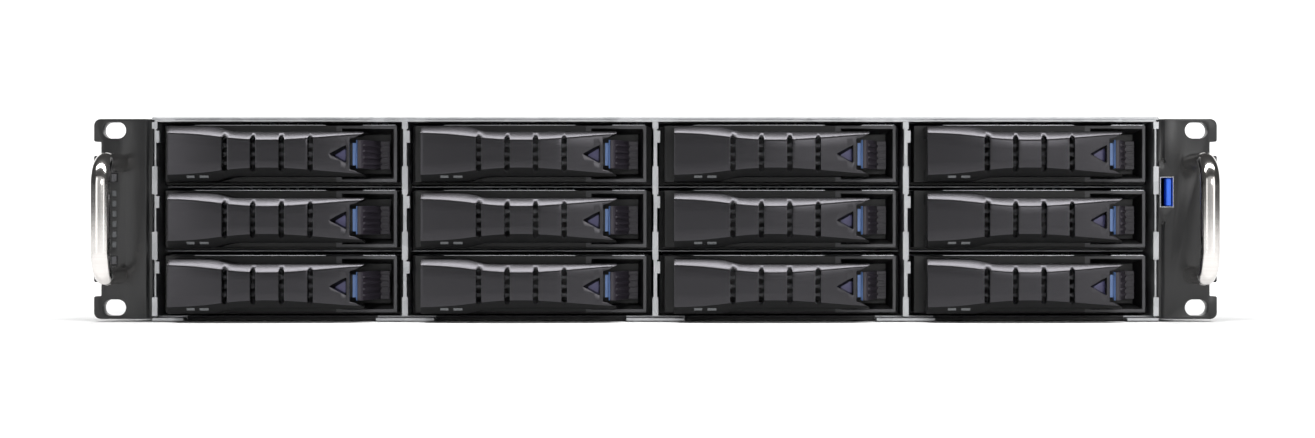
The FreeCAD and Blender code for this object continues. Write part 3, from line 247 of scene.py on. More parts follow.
@dataclass(frozen=True)
class Coat:
    """One surface skin: two display colours, a gloss and a fine structure in millimetres."""

    colour: Shown
    accent: Shown
    roughness: float
    wander: float
    metallic: float
    pattern: Pattern
    size: float
    relief: float

    def structure(self, shader: Shader) -> tuple[Field, Field]:
        """Makes the fine structure.

        Args:
            shader: material that is being written.

        Returns:
            A share of the accent colour and a height, both around one half.
        """
        if self.pattern is Pattern.BRUSHED:
            lines = shader.noise(self.size, 3.0, (60.0, 60.0, 1.0))
            return lines, lines
        if self.pattern is Pattern.TRACKS:
            sockets = {
                "Vector": shader.place,
                "Color1": (0, 0, 0, 1),
                "Color2": (0, 0, 0, 1),
                "Mortar": (1, 1, 1, 1),
                "Scale": 1 / self.size,
                "Mortar Size": 0.02,
                "Mortar Smooth": 0.2,
                "Brick Width": 5.0,
                "Row Height": 0.35,
            }
            tracks = shader.node("ShaderNodeTexBrick", sockets, "Fac", offset=0.37)
            return tracks, tracks
        fine = shader.noise(self.size)
        if self.pattern is Pattern.SPANGLE:
            sockets = {"Vector": shader.place, "Scale": 1 / self.size}
            cells = shader.node("ShaderNodeTexVoronoi", sockets, "Color")
            crystals = shader.node("ShaderNodeSeparateColor", {0: cells})
            return crystals * 0.75 + fine * 0.25, crystals
        if self.pattern is Pattern.CAST:
            lumps = shader.noise(self.size * 6, 4.0)
            return lumps, lumps * 0.6 + fine * 0.4
        if self.pattern is Pattern.PEEL:
            return fine, shader.noise(self.size * 2.5, 1.0)
        return fine, fine

    def sample(self, shader: Shader) -> Sample:
        """Writes the coat into a material.

        Args:
            shader: material that is being written.

        Returns:
            The coat at each point.
        """
        share, height = self.structure(shader)
        smudge = shader.noise(SMUDGE_SIZE, 3.0)
        colour = shader.mix(share * 0.7 + smudge * 0.3, linear(self.colour), linear(self.accent))
        roughness = (share * 0.4 + smudge * 0.6 - 0.5) * (2 * self.wander) + self.roughness
        return Sample(colour, roughness, self.metallic, height * self.relief)


@dataclass(frozen=True)
class Zone:
    """A box of space, in the server's or in a bay's millimetres, where another coat shows."""

    coat: Coat
    x: Span | None = None
    y: Span | None = None
    z: Span | None = None
    bay: bool = False

    def mask(self, shader: Shader) -> Field:
        """Tests each point against the box.

        Args:
            shader: material that is being written.

        Returns:
            One inside the box, else zero.
        """
        x, y, z = shader.axes
        if self.bay:
            x = (x + BAY_PITCH * COLUMNS / 2) % BAY_PITCH
            z = (z + ROW_PITCH * ROWS / 2) % ROW_PITCH - ROW_PITCH / 2
        spans = ((x, self.x), (y, self.y), (z, self.z))
        inside, *others = [axis.within(span) for axis, span in spans if span]
        for other in others:
            inside = inside * other
        return inside


@dataclass(frozen=True)
class Perforation(Zone):
    """A box of space with rows of round black dots: painted shade that stands in for holes and the dark
    behind a wall.
    """

    pitch: float = 4.4
    hole: float = 3.5

    def mask(self, shader: Shader) -> Field:
        """Tests each point against the staggered holes.

        Args:
            shader: material that is being written.

        Returns:
            One inside a hole, else zero.
        """
        x, _, z = shader.axes
        rise = self.pitch * math.sqrt(0.75)
        off = (x + (z / rise).floor() * (self.pitch / 2)) % self.pitch - self.pitch / 2
        up = z % rise - rise / 2
        return super().mask(shader) * ((off * off + up * up) < (self.hole / 2) ** 2)


@dataclass(frozen=True)
class Finish:
    """A named material: a base coat and the zones that differ from it."""

    name: str
    base: Coat
    zones: tuple[Zone, ...] = ()
    fixed: tuple[tuple[str, float | Colour], ...] = ()

    @cache
    def material(self) -> bpy.types.Material:
        """Makes the material once and then hands it out again.

        Returns:
            The node material.
        """
        shader = Shader(f"{self.name}_finish")
        result = self.base.sample(shader)
        for zone in self.zones:
            other = zone.coat.sample(shader)
            mask = zone.mask(shader)
            result = Sample(
                shader.mix(mask, result.colour, other.colour),
                result.roughness + (other.roughness - result.roughness) * mask,
                mask * (zone.coat.metallic - self.base.metallic) + result.metallic,
                result.height + (other.height - result.height) * mask,
            )
        return shader.surface(result, dict(self.fixed))


ZINC = Coat((160, 162, 164), (192, 193, 195), 0.47, 0.1, 1.0, Pattern.SPANGLE, 7.0, 0.006)
DULL_ZINC = Coat((138, 140, 142), (168, 170, 172), 0.42, 0.1, 1.0, Pattern.SPANGLE, 5.0, 0.006)
BLACK_POWDER = Coat((12, 12, 13), (18, 18, 19), 0.32, 0.06, 0.0, Pattern.PEEL, 0.5, 0.012)
BLACK_MOULD = Coat((10, 10, 11), (15, 15, 16), 0.5, 0.08, 0.0, Pattern.GRAIN, 0.3, 0.02)
LEVER_MOULD = Coat((16, 16, 17), (22, 22, 23), 0.25, 0.04, 0.0, Pattern.GRAIN, 0.25, 0.01)
CAST_METAL = Coat((150, 152, 154), (175, 176, 178), 0.45, 0.1, 1.0, Pattern.CAST, 0.6, 0.03)
WEB_GREY = Coat((92, 92, 97), (110, 110, 115), 0.4, 0.08, 0.0, Pattern.GRAIN, 0.3, 0.02)
# Lighter grey for the front of the bezel rim on the right of each bay: a painted highlight.
RIM_PAINTED_HIGHLIGHT = Coat((58, 58, 60), (72, 72, 75), 0.4, 0.08, 0.0, Pattern.GRAIN, 0.3, 0.02)
DARK_STEEL = Coat((96, 98, 100), (120, 122, 124), 0.4, 0.1, 1.0, Pattern.BRUSHED, 0.4, 0.004)
BRIGHT_CHROME = Coat((205, 200, 196), (232, 230, 228), 0.15, 0.05, 1.0, Pattern.BRUSHED, 0.5, 0.002)
BLUE_MOULD = Coat((92, 122, 178), (118, 150, 204), 0.35, 0.08, 0.0, Pattern.GRAIN, 0.25, 0.01)
ARROW_BLUE = Coat((82, 80, 122), (106, 104, 148), 0.3, 0.08, 0.0, Pattern.GRAIN, 0.25, 0.01)
# Dark purple-grey copy of the blue button plastic for its ribbed ramp: painted shade.
RAMP_PAINTED_SHADE = Coat((34, 31, 38), (46, 41, 50), 0.45, 0.08, 0.0, Pattern.GRAIN, 0.3, 0.02)
BOARD_MASK = Coat((18, 66, 40), (40, 104, 62), 0.4, 0.08, 0.0, Pattern.TRACKS, 2.5, 0.02)
CHIP_BLACK = Coat((26, 26, 28), (38, 38, 40), 0.5, 0.08, 0.0, Pattern.GRAIN, 0.3, 0.02)
FIN_METAL = Coat((186, 188, 190), (206, 207, 209), 0.3, 0.08, 1.0, Pattern.BRUSHED, 0.4, 0.004)
KEY_GREY = Coat((58, 58, 61), (72, 72, 75), 0.4, 0.06, 0.0, Pattern.GRAIN, 0.2, 0.01)
LENS_GREY = Coat((66, 68, 70), (86, 88, 90), 0.2, 0.06, 0.0, Pattern.GRAIN, 0.3, 0.004)
PORT_BLUE = Coat((34, 92, 214), (52, 112, 232), 0.4, 0.06, 0.0, Pattern.GRAIN, 0.25, 0.01)
GOLD = Coat((196, 158, 84), (220, 184, 108), 0.28, 0.06, 1.0, Pattern.BRUSHED, 0.3, 0.002)
PLATED = Coat((178, 180, 184), (204, 206, 208), 0.25, 0.08, 1.0, Pattern.BRUSHED, 0.3, 0.002)
PAPER = Coat((242, 242, 242), (248, 248, 248), 0.8, 0.05, 0.0, Pattern.PEEL, 4.0, 0.01)


class Finishes(Enum):
    """Every finish of the server, each with the slot that it fills."""

    SHEET_STEEL = Finish(
        "sheet_steel",
        ZINC,
        tuple(
            # Black bands on the cut-back front edge of the floor between the tray tabs: painted shade.
            Zone(BLACK_MOULD, (BAY_PITCH * bay + 12.6, BAY_PITCH * bay + 95.0), (1.0, 9.6), (-44.0, -41.6))
            for bay in range(-COLUMNS // 2, COLUMNS // 2)
        )
        + tuple(
            # Black dots for the rear vent holes: painted shade.
            Perforation(BLACK_MOULD, about(middle, 6.8), (637.0, 640.0), (-24.0, 30.0))
            for middle in CARD_SLOTS
        )
        + (Perforation(BLACK_MOULD, (-62.0, 110.0), (638.0, 640.0), (14.0, 37.0)),),
    )
    GRILLE_GREY = Finish("lever_black", WEB_GREY)
    PLATE_STEEL = Finish("sheet_steel", DARK_STEEL)
    SPRING_STEEL = Finish("sheet_steel", PLATED)
    PORT_TONGUE = Finish("usb_metal", PORT_BLUE)
    PORT_GOLD = Finish("usb_metal", GOLD)
    CHIP_BLACK = Finish("fan_black", CHIP_BLACK)
    CAN_METAL = Finish("sink_aluminium", PLATED)
    EAR_BLACK = Finish("ear_black", BLACK_POWDER)
    CHROME_BAR = Finish("chrome_bar", BRIGHT_CHROME)
    TRAY_BLACK = Finish(
        "tray_black",
        DULL_ZINC,
        (
            Zone(BLACK_MOULD, y=(-60.0, 11.4)),
            # The rim's front on the right of each bay is lighter grey: a painted highlight.
            Zone(RIM_PAINTED_HIGHLIGHT, (77.6, 104.0), (-3.0, -2.3), bay=True),
            Zone(CAST_METAL, (3.01, 104.59), (12.4, 159.6), (-12.79, 13.0), True),
        ),
    )
    LEVER_BLACK = Finish("lever_black", LEVER_MOULD, fixed=(("Specular Tint", (0.95, 0.92, 1.0, 1.0)),))
    # A darker, less glossy copy of the lever plastic for its downward faces: painted shade.
    LEVER_UNDER = Finish("lever_black", BLACK_MOULD, fixed=(("Specular IOR Level", 0.12),))
    RELEASE_BLUE = Finish(
        "release_blue",
        BLUE_MOULD,
        (
            # The ribbed ramp is the blue button plastic darkened: painted shade.
            Zone(RAMP_PAINTED_SHADE, x=(88.3, 106.0), bay=True),
            Zone(ARROW_BLUE, x=(60.0, 84.8), bay=True),
            # A black band on the button just left of the blue rim: painted shade of the gap between lever end
            # and rim.
            Zone(BLACK_MOULD, x=(84.8, 86.2), bay=True),
        ),
    )
    KEY_GREY = Finish("key_grey", KEY_GREY)
    INDICATOR_CLEAR = Finish("indicator_clear", LENS_GREY)
    USB_METAL = Finish("usb_metal", PLATED, (Zone(PORT_BLUE, (217.15, 222.45), (-5.9, 7.9), (5.35, 17.85)),))
    CIRCUIT_GREEN = Finish(
        "circuit_green",
        BOARD_MASK,
        (
            Zone(PLATED, y=(615.0, 660.0)),
            Zone(BLACK_MOULD, (39.3, 54.0), (618.0, 639.3), (-31.7, -6.4)),
            Zone(BLACK_MOULD, (12.8, 27.5), (618.0, 639.3), (-31.7, -19.9)),
            Zone(BLACK_MOULD, (-13.7, 1.0), (618.0, 639.3), (-31.7, -19.9)),
        ),
    )
    FAN_BLACK = Finish("fan_black", BLACK_MOULD)
    SINK_ALUMINIUM = Finish("sink_aluminium", FIN_METAL)
    SUPPLY_CASE = Finish(
        "supply_case",
        DULL_ZINC,
        (
            Zone(BLACK_MOULD, (147.7, 175.5), (620.0, 640.9)),
            Zone(BLACK_MOULD, (176.7, 210.5), (637.0, 640.3)),
            Zone(BLACK_MOULD, (146.0, 177.0), (641.0, 668.0)),
        ),
    )
    LATCH_BLUE = Finish("latch_blue", BLUE_MOULD)


def linked(name: str, data: bpy.types.ID) -> Thing:
    """Makes an object and links it to the scene.

    Args:
        name: name of the object.
        data: its mesh, light or camera.

    Returns:
        The object, at the origin.
    """
    made = bpy.data.objects.new(name, data)
    bpy.context.scene.collection.objects.link(made)
    return made


class Solid:
    """Mesh helpers that work in millimetres."""

    @staticmethod
    def rectangle(x: Span, z: Span) -> list[Span]:
        """Corners of a rectangle between two spans."""
        return [(x[0], z[0]), (x[1], z[0]), (x[1], z[1]), (x[0], z[1])]

    @staticmethod
    def circle(radius: float, sides: int, middle: Span = (0.0, 0.0)) -> list[Span]:
        """Evenly spaced points around a circle."""
        turns = [math.tau * index / sides for index in range(sides)]
        return [(middle[0] + radius * math.cos(turn), middle[1] + radius * math.sin(turn)) for turn in turns]

    @staticmethod
    def rounded(corners: Sequence[Span], radius: float | Sequence[float], steps: int = 5) -> list[Span]:
        """Rounds the corners of an outline.

        Args:
            corners: corners of the outline.
            radius: radius of all corners, or of each corner, where zero leaves it sharp.
            steps: pieces of each arc.

        Returns:
            The outline with arcs.
        """
        radii = [radius] * len(corners) if isinstance(radius, float) else radius
        outline = []
        for index, (corner, radius) in enumerate(zip(corners, radii)):
            if not radius:
                outline.append(corner)
                continue
            here = Vector(corner)
            before = (Vector(corners[index - 1]) - here).normalized()
            after = (Vector(corners[(index + 1) % len(corners)]) - here).normalized()
            half = before.angle(after) / 2
            reach = radius / math.tan(half)
            middle = here + (before + after).normalized() * (radius / math.sin(half))
            start = here + before * reach - middle
            turn = start.angle_signed(here + after * reach - middle)
            for step in range(steps + 1):
                outline.append(tuple(middle + Matrix.Rotation(-turn * step / steps, 2) @ start))
        return outline

    @staticmethod
    def loft(rings: Sequence[Sequence[Point]], loop: bool = False) -> Form:
        """Skins rings of equal length, and closes both ends or joins them.

        Args:
            rings: closed rings of points, in order.
            loop: whether the last ring leads back to the first.

        Returns:
            A closed mesh with outward faces.
        """
        mesh = bmesh.new()
        rows = [[mesh.verts.new(Vector(point) * MM) for point in ring] for ring in rings]
        for row, following in zip(rows, rows[1:] + rows[:loop]):
            for index in range(len(row)):
                after = (index + 1) % len(row)
                mesh.faces.new((row[index], row[after], following[after], following[index]))
        for end in () if loop else (rows[0], rows[-1]):
            mesh.faces.new(end)
        bmesh.ops.recalc_face_normals(mesh, faces=mesh.faces)
        return mesh

    @staticmethod
    def prism(outline: Sequence[Span], low: float, high: float) -> Form:
        """A front outline that is pushed straight back from low to high."""
        return Solid.loft([[(x, y, z) for x, z in outline] for y in (low, high)])

    @staticmethod
    def box(x: Span, y: Span, z: Span) -> Form:
        """A block between three spans."""
        return Solid.prism(Solid.rectangle(x, z), *y)

    @staticmethod
    def joined(parts: Iterable[Form]) -> Form:
        """Puts meshes together.

        Args:
            parts: meshes that are used up.

        Returns:
            One mesh of them all.
        """
        whole = bmesh.new()
        for part in parts:
            data = bpy.data.meshes.new("joined")
            part.to_mesh(data)
            part.free()
            whole.from_mesh(data)
            bpy.data.meshes.remove(data)
        return whole

    @staticmethod
    def thing(name: str, mesh: Form) -> Thing:
        """Turns a mesh into an object of the scene.

        Args:
            name: name of the object.
            mesh: mesh that is used up.

        Returns:
            The object, at the origin.
        """
        data = bpy.data.meshes.new(name)
        mesh.to_mesh(data)
        mesh.free()
        return linked(name, data)

    @staticmethod
    def smooth(data: Mesh, angle: float) -> None:
        """Shades faces as one smooth skin where they meet at less than an angle in degrees."""
        data.shade_smooth()
        data.set_sharp_from_angle(angle=math.radians(angle))

    @staticmethod
    def bevel(thing: Thing, edge: float, angle: float) -> None:
        """Breaks the edges of an object with a modifier.

        Args:
            thing: object that gets the modifier.
            edge: width of the broken edges.
            angle: smallest angle between faces that makes an edge, in degrees.
        """
        broken = thing.modifiers.new("edge", "BEVEL")
        broken.width = edge * MM
        broken.segments = EDGE_SEGMENTS
        broken.limit_method = "ANGLE"
        broken.angle_limit = math.radians(angle)

    @staticmethod
    def baked(thing: Thing, angle: float) -> Mesh:
        """Applies an object's modifiers and removes the object.

        Args:
            thing: object with modifiers.
            angle: largest angle between faces that still look smooth, in degrees.

        Returns:
            The plain mesh.
        """
        depsgraph = bpy.context.evaluated_depsgraph_get()
        data = bpy.data.meshes.new_from_object(thing.evaluated_get(depsgraph))
        Solid.smooth(data, angle)
        bpy.data.objects.remove(thing)
        return data

    @staticmethod
    def carved(
        base: Form, cutters: Sequence[Form] = (), edge: float = 0.0
    ) -> Mesh:
        """Cuts holes and breaks the edges.

        Args:
            base: solid that is used up.
            cutters: solids to take away, used up.
            edge: width of the broken edges.

        Returns:
            The plain mesh.
        """
        body = Solid.thing("carved", base)
        tools = [Solid.thing(f"cutter_{index}", cutter) for index, cutter in enumerate(cutters)]
        for tool in tools:
            cut = body.modifiers.new("cut", "BOOLEAN")
            cut.object = tool
            cut.solver = "EXACT"
        if edge:
            Solid.bevel(body, edge, EDGE_ANGLE)
        data = Solid.baked(body, CARVED_ANGLE)
        for tool in tools:
            bpy.data.objects.remove(tool)
        return data


class Builder(Graph):
    """A Geometry Nodes tree with named inputs that ends in realized, dressed geometry."""

    def __init__(self, name: str) -> None:
        """Makes an empty tree with one geometry going in and one coming out.

        Args:
            name: name of the tree.
        """
        super().__init__(bpy.data.node_groups.new(name, "GeometryNodeTree"))
        for way in ("INPUT", "OUTPUT"):
            self.tree.interface.new_socket("Geometry", in_out=way, socket_type="NodeSocketGeometry")
        self.entry = self.tree.nodes.new("NodeGroupInput")
        self.values: dict[str, object] = {}

    @property
    def incoming(self) -> Field:
        """The geometry that goes into the tree."""
        return Field(self, self.entry.outputs["Geometry"])

    def given(self, name: str, kind: str, value: object) -> Field:
        """Adds a named input.

        Args:
            name: name of the input.
            kind: Blender's socket type.
            value: value that the modifier hands in.

        Returns:
            The input inside the tree.
        """
        socket = self.tree.interface.new_socket(name, in_out="INPUT", socket_type=kind)
        self.values[socket.identifier] = value
        return Field(self, self.entry.outputs[name])

    def repeated(self, points: Field, shape: Field, turn: Value = UPWARD) -> Field:
        """Puts an object on every point.

        Args:
            points: where it goes.
            shape: input that holds the object.
            turn: turn of every copy.

        Returns:
            The instances.
        """
        info = self.node("GeometryNodeObjectInfo", {"Object": shape}, "Geometry")
        facing = self.node("FunctionNodeEulerToRotation", {0: turn})
        sockets = {"Points": points, "Instance": info, "Rotation": facing}
        return self.node("GeometryNodeInstanceOnPoints", sockets)

    def finish(self, geometry: Field, base: Form, finish: Finishes) -> Mesh:
        """Ends the tree and runs it once.

        Args:
            geometry: instances to realize.
            base: mesh that goes into the tree, used up.
            finish: finish of the result.

        Returns:
            The plain mesh.
        """
        real = self.node("GeometryNodeRealizeInstances", {0: geometry})
        merged = self.node("GeometryNodeMergeByDistance", {0: real, "Distance": MERGE_REACH * MM})
        sockets = {"Geometry": merged, "Material": finish.value.material()}
        self.node("NodeGroupOutput", {0: self.node("GeometryNodeSetMaterial", sockets)})
        carrier = Solid.thing(self.tree.name, base)
        modifier = carrier.modifiers.new(self.tree.name, "NODES")
        modifier.node_group = self.tree
        for identifier, value in self.values.items():
            modifier[identifier] = value
        return Solid.baked(carrier, BUILT_ANGLE)


def settle(piece: Thing, body: str, finish: Finishes, *nodes: str) -> None:
    """Dresses a piece and fixes it to the frame.

    Args:
        piece: new piece at the origin.
        body: body that carries it.
        finish: finish of the piece.
        nodes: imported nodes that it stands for.
    """
    piece.data.materials.clear()
    piece.data.materials.append(finish.value.material())
    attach(piece, body)
    if nodes:
        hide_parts(*nodes)
    LOG.info("%s rides on %s in %s", piece.name, body, finish.value.name)


def place(name: str, data: Mesh, body: str, finish: Finishes, *nodes: str) -> None:
    """Makes an object of a finished mesh and settles it."""
    settle(linked(name, data), body, finish, *nodes)


def stamp(
    name: str,
    shape: Mesh,
    points: Iterable[Point],
    body: str,
    finish: Finishes,
    turn: Point = UPWARD,
) -> None:
    """Repeats a shape on a list of points as one piece.

    Args:
        name: name of the piece and of its node tree.
        shape: mesh to repeat, about the origin.
        points: where it goes, in millimetres.
        body: body that carries the piece.
        finish: finish of the piece.
        turn: turn of every copy.
    """
    base = bmesh.new()
    for point in points:
        base.verts.new(Vector(point) * MM)
    pattern = linked("pattern", shape)
    tree = Builder(name)
    model = tree.given("Shape", "NodeSocketObject", pattern)
    angles = tree.given("Turn", "NodeSocketVector", turn)
    data = tree.finish(tree.repeated(tree.incoming, model, angles), base, finish)
    bpy.data.objects.remove(pattern)
    place(name, data, body, finish)


@dataclass(frozen=True)
class Bay:
    """One drive bay, counted from the top left."""

    row: int
    column: int

    def __str__(self) -> str:
        """Name that its pieces end in."""
        return f"r{self.row + 1}c{self.column + 1}"

    def copy(self, kind: str, data: Mesh) -> Thing:
        """Places a copy of a mesh that is drawn from the bay's left end and middle height.

        Args:
            kind: name of the new object without the bay.
            data: mesh in bay coordinates.

        Returns:
            The object, with its place in its mesh.
        """
        left = BAY_PITCH * (self.column - COLUMNS / 2)
        level = ROW_PITCH * ((ROWS - 1) / 2 - self.row)
        own = data.copy()
        own.transform(Matrix.Translation(Vector((left, 0.0, level)) * MM))
        return linked(f"{kind}_{self}", own)


BAYS = tuple(Bay(row, column) for row in range(ROWS) for column in range(COLUMNS))


@dataclass(frozen=True)
class Curve:
    """A smooth line through a few points of (place, value)."""

    points: tuple[Span, ...]

    def at(self, place: float) -> float:
        """Reads the line.

        Args:
            place: where to read it.

        Returns:
            The value there, held level past both ends.
        """
        knots = self.points
        if place <= knots[0][0]:
            return knots[0][1]
        if place >= knots[-1][0]:
            return knots[-1][1]
        index = max(i for i, knot in enumerate(knots) if knot[0] <= place)
        start, finish = knots[index], knots[index + 1]
        before = knots[max(index - 1, 0)]
        after = knots[min(index + 2, len(knots) - 1)]
        width = finish[0] - start[0]
        slope_in = (finish[1] - before[1]) / (finish[0] - before[0]) * width
        slope_out = (after[1] - start[1]) / (after[0] - start[0]) * width
        t = (place - start[0]) / width
        return (
            (2 * t**3 - 3 * t**2 + 1) * start[1]
            + (t**3 - 2 * t**2 + t) * slope_in
            + (3 * t**2 - 2 * t**3) * finish[1]
            + (t**3 - t**2) * slope_out
        )


@dataclass
class TrayLevers:
    """Twelve bowed, waisted pull levers, in bay millimetres."""

    left: float = 8.0
    tip: float = 91.0
    middle: float = -0.5
    back: float = -3.5
    bevel_slope: float = 0.75
    root_face: float = -19.1
    tip_face: float = -17.0
    sag: float = 4.1
    outline: Curve = Curve(
        ((8, 11.7), (26, 11.7), (28.5, 11.45), (32, 10.5), (35.5, 9.75), (39, 9.6), (91, 9.6))
    )
    face: Curve = Curve(
        ((8, 8.8), (18, 8.35), (26, 7.6), (33, 6.75), (40, 6.1), (48, 5.75), (57, 5.85),
         (66, 6.4), (76, 7.2), (85, 7.95), (91, 8.3))
    )
    through: Span = (-26.0, 0.0)
    vents: tuple[float, ...] = (32.8, 44.85, 56.9, 68.95)
    vent_width: float = 2.4
    vent_half: float = 7.5
    vent_corner: float = 1.1
    arrow_front: tuple[Span, ...] = ((76.7, 0.0), (84.2, -4.2), (84.2, 4.2))
    arrow_back: tuple[Span, ...] = ((78.7, -0.35), (83.2, -2.9), (83.2, 2.3))
    arrow_flare: Span = (-18.9, -15.6)
    arrow_corner: float = 0.3
    fork: tuple[Span, ...] = (
        (85.3, -6.6), (87.3, -7.0), (94.0, -10.4), (94.0, 10.4), (87.3, 7.0), (85.3, 6.6)
    )
    fork_corner: float = 0.8
    hollows: tuple[tuple[Span, float, float], ...] = (
        ((83.2, 93.0), -16.3, 6.55),
        ((14.5, 93.0), -15.2, 7.7),
        ((6.0, 12.3), -10.4, 6.4),
    )
    hinge: Span = (11.0, -9.5)
    hinge_radius: float = 1.85
    hinge_half: float = 6.4
    hinge_sides: int = 20
    windows: tuple[Span, ...] = ((16.4, 19.9), (22.0, 25.9))
    lens: tuple[Span, Span] = ((9.15, 10.25), (-0.08, 0.4))
    lens_edge: float = 0.15
    # Normal limits of the downward faces that get the painted shade.
    under: Span = (-0.3, 0.1)
    stations: int = 68
    edge: float = 0.22
    corner: float = 0.5
    outer_round: Span = (0.25, 0.05)
    inner_round: Span = (0.28, 0.04)
    face_share: float = 0.4

    def front(self, x: float) -> float:
        """Front of the bowed face at a place along the lever."""
        t = (x - self.left) / (self.tip - self.left)
        return self.root_face + (self.tip_face - self.root_face) * t - self.sag * 4 * t * (1 - t)

    def ring(self, x: float) -> list[Point]:
        """Cross-section of the lever.

        Args:
            x: place along the lever.

        Returns:
            A closed ring of points.
        """
        side = self.outline.at(x)
        flat = self.face.at(x)
        front = self.front(x)
        bevel = front + self.bevel_slope * (side - flat)
        slant = Vector((front - bevel, flat - side))
        step = slant.normalized() * min(self.corner, slant.length / 4)
        wide, fall = self.outer_round
        share, drop = self.inner_round
        upper = [
            (self.back, side),
            (bevel + self.corner, side),
            (bevel + self.corner * wide, side - fall),
            (bevel + step.x, side + step.y),
            (front - step.x, flat - step.y),
            (front - step.x * share, flat - step.y * share - drop),
            (front, flat - self.corner),
            (front, flat * self.face_share),
            (front, 0.0),
        ]
        lower = [(y, -z) for y, z in reversed(upper[:-1])]
        return [(x, y, self.middle + z) for y, z in upper + lower]

    def lifted(self, corners: Sequence[Span], radius: float) -> list[Span]:
        """A rounded outline about the lever's middle height."""
        return Solid.rounded([(x, z + self.middle) for x, z in corners], radius)

    def cutters(self) -> list[Form]:
        """Vents, arrow window, forked end, button nest, inner hollow and hinge groove.

        Returns:
            Solids to take away.
        """
        ahead, behind = self.through
        tools = []
        for x in self.vents:
            corners = Solid.rectangle(about(x, self.vent_width / 2), about(0.0, self.vent_half))
            tools.append(Solid.prism(self.lifted(corners, self.vent_corner), ahead, behind))
        arrows = (self.arrow_front, self.arrow_back)
        wide, narrow = (self.lifted(corners, self.arrow_corner) for corners in arrows)
        depths = zip((ahead, *self.arrow_flare, behind), (wide, wide, narrow, narrow))
        tools.append(Solid.loft([[(x, y, z) for x, z in outline] for y, outline in depths]))
        tools.append(Solid.prism(self.lifted(self.fork, self.fork_corner), ahead, behind))
        for across, front, half in self.hollows:
            tools.append(Solid.box(across, (front, behind), about(self.middle, half)))
        rod = Solid.circle(self.hinge_radius, self.hinge_sides, self.hinge)
        tools.append(Solid.loft([[(x, y, z) for x, y in rod] for z in about(self.middle, self.hinge_half)]))
        return tools

    def lenses(self) -> Mesh:
        """Two small clear windows let into the lower bevel.

        Returns:
            One mesh in bay coordinates.
        """
        parts = []
        for window in self.windows:
            rings = []
            for x in window:
                ring = []
                for half, sink in Solid.rectangle(*self.lens):
                    y = self.front(x) + self.bevel_slope * (half - self.face.at(x)) + sink
                    ring.append((x, y, self.middle - half))
                rings.append(ring)
            parts.append(Solid.loft(rings))
        return Solid.carved(Solid.joined(parts), edge=self.lens_edge)

    def build(self) -> None:
        """Builds the lever once, with painted shade on its downward faces, and hangs a copy in each bay."""
        run = self.tip - self.left
        rings = [self.ring(self.left + run * step / self.stations) for step in range(self.stations + 1)]
        data = Solid.carved(Solid.loft(rings), self.cutters(), self.edge)
        # Faces that point down get the darker, duller copy of the lever plastic as painted shade.
        down, forward = self.under
        under = [face.normal.z < down and face.normal.y < forward for face in data.polygons]
        lenses = self.lenses()
        for bay in BAYS:
            lever = bay.copy("pull_lever", data)
            settle(lever, f"tray_lever_{bay}", Finishes.LEVER_BLACK, f"tray_lever_{bay}")
            lever.data.materials.append(Finishes.LEVER_UNDER.value.material())
            lever.data.polygons.foreach_set("material_index", under)
            settle(bay.copy("lever_lenses", lenses), f"tray_lever_{bay}", Finishes.INDICATOR_CLEAR)


@dataclass
class AirPlates:
    """The upright plate with round holes behind the vents of each lever, in bay millimetres."""

    across: Span = (30.8, 70.96)
    levels: Span = (-8.0, 7.0)
    place: float = -14.75
    count: tuple[int, int] = (10, 4)
    hole: float = 2.7
    thick: float = 0.8
    sides: int = 12

    def cell(self, pitch: Span) -> Form:
        """One rectangle of sheet around one hole.

        Args:
            pitch: width and height of the rectangle.

        Returns:
            A mesh without its outer walls.
        """
        mesh = bmesh.new()
        layers = []
        for y in about(0.0, self.thick / 2):
            inner, outer = [], []
            for index in range(self.sides):
                angle = math.tau * (index + 0.5) / self.sides
                across, up = math.cos(angle), math.sin(angle)
                inner.append(mesh.verts.new(Vector((across * self.hole / 2, y, up * self.hole / 2)) * MM))
                reach = min(pitch[0] / 2 / max(abs(across), 1e-6), pitch[1] / 2 / max(abs(up), 1e-6))
                outer.append(mesh.verts.new(Vector((across * reach, y, up * reach)) * MM))
            layers.append((inner, outer))
        for index in range(self.sides):
            after = (index + 1) % self.sides
            for inner, outer in (*layers, (layers[0][0], layers[1][0])):
                mesh.faces.new((inner[index], inner[after], outer[after], outer[index]))
        bmesh.ops.recalc_face_normals(mesh, faces=mesh.faces)
        return mesh

    def mesh(self) -> Mesh:
        """Repeats the cell over a grid.

        Returns:
            The plain mesh, in place.
        """
        spans = (self.across, self.levels)
        pitch = [(high - low) / count for (low, high), count in zip(spans, self.count)]
        cell = Solid.thing("plate_cell", self.cell(pitch))
        tree = Builder("perforated_plate")
        shape = tree.given("Cell", "NodeSocketObject", cell)
        sockets = {}
        for axis, side, count, step in zip("XZ", "XY", self.count, pitch):
            sockets[f"Vertices {side}"] = tree.given(f"Holes {axis}", "NodeSocketInt", count)
            sockets[f"Size {side}"] = tree.given(f"Span {axis}", "NodeSocketFloat", (count - 1) * step * MM)
        grid = tree.node("GeometryNodeMeshGrid", sockets)
        upright = tree.node("GeometryNodeTransform", {0: grid, "Rotation": (math.pi / 2, 0.0, 0.0)})
        data = tree.finish(tree.repeated(upright, shape), bmesh.new(), Finishes.GRILLE_GREY)
        middle = Vector((sum(self.across) / 2, self.place, sum(self.levels) / 2))
        data.transform(Matrix.Translation(middle * MM))
        bpy.data.objects.remove(cell)
        return data

    def build(self) -> None:
        """Makes one plate and hangs a copy in each bay."""
        data = self.mesh()
        for bay in BAYS:
            settle(bay.copy("air_plate", data), f"tray_lever_{bay}", Finishes.GRILLE_GREY)


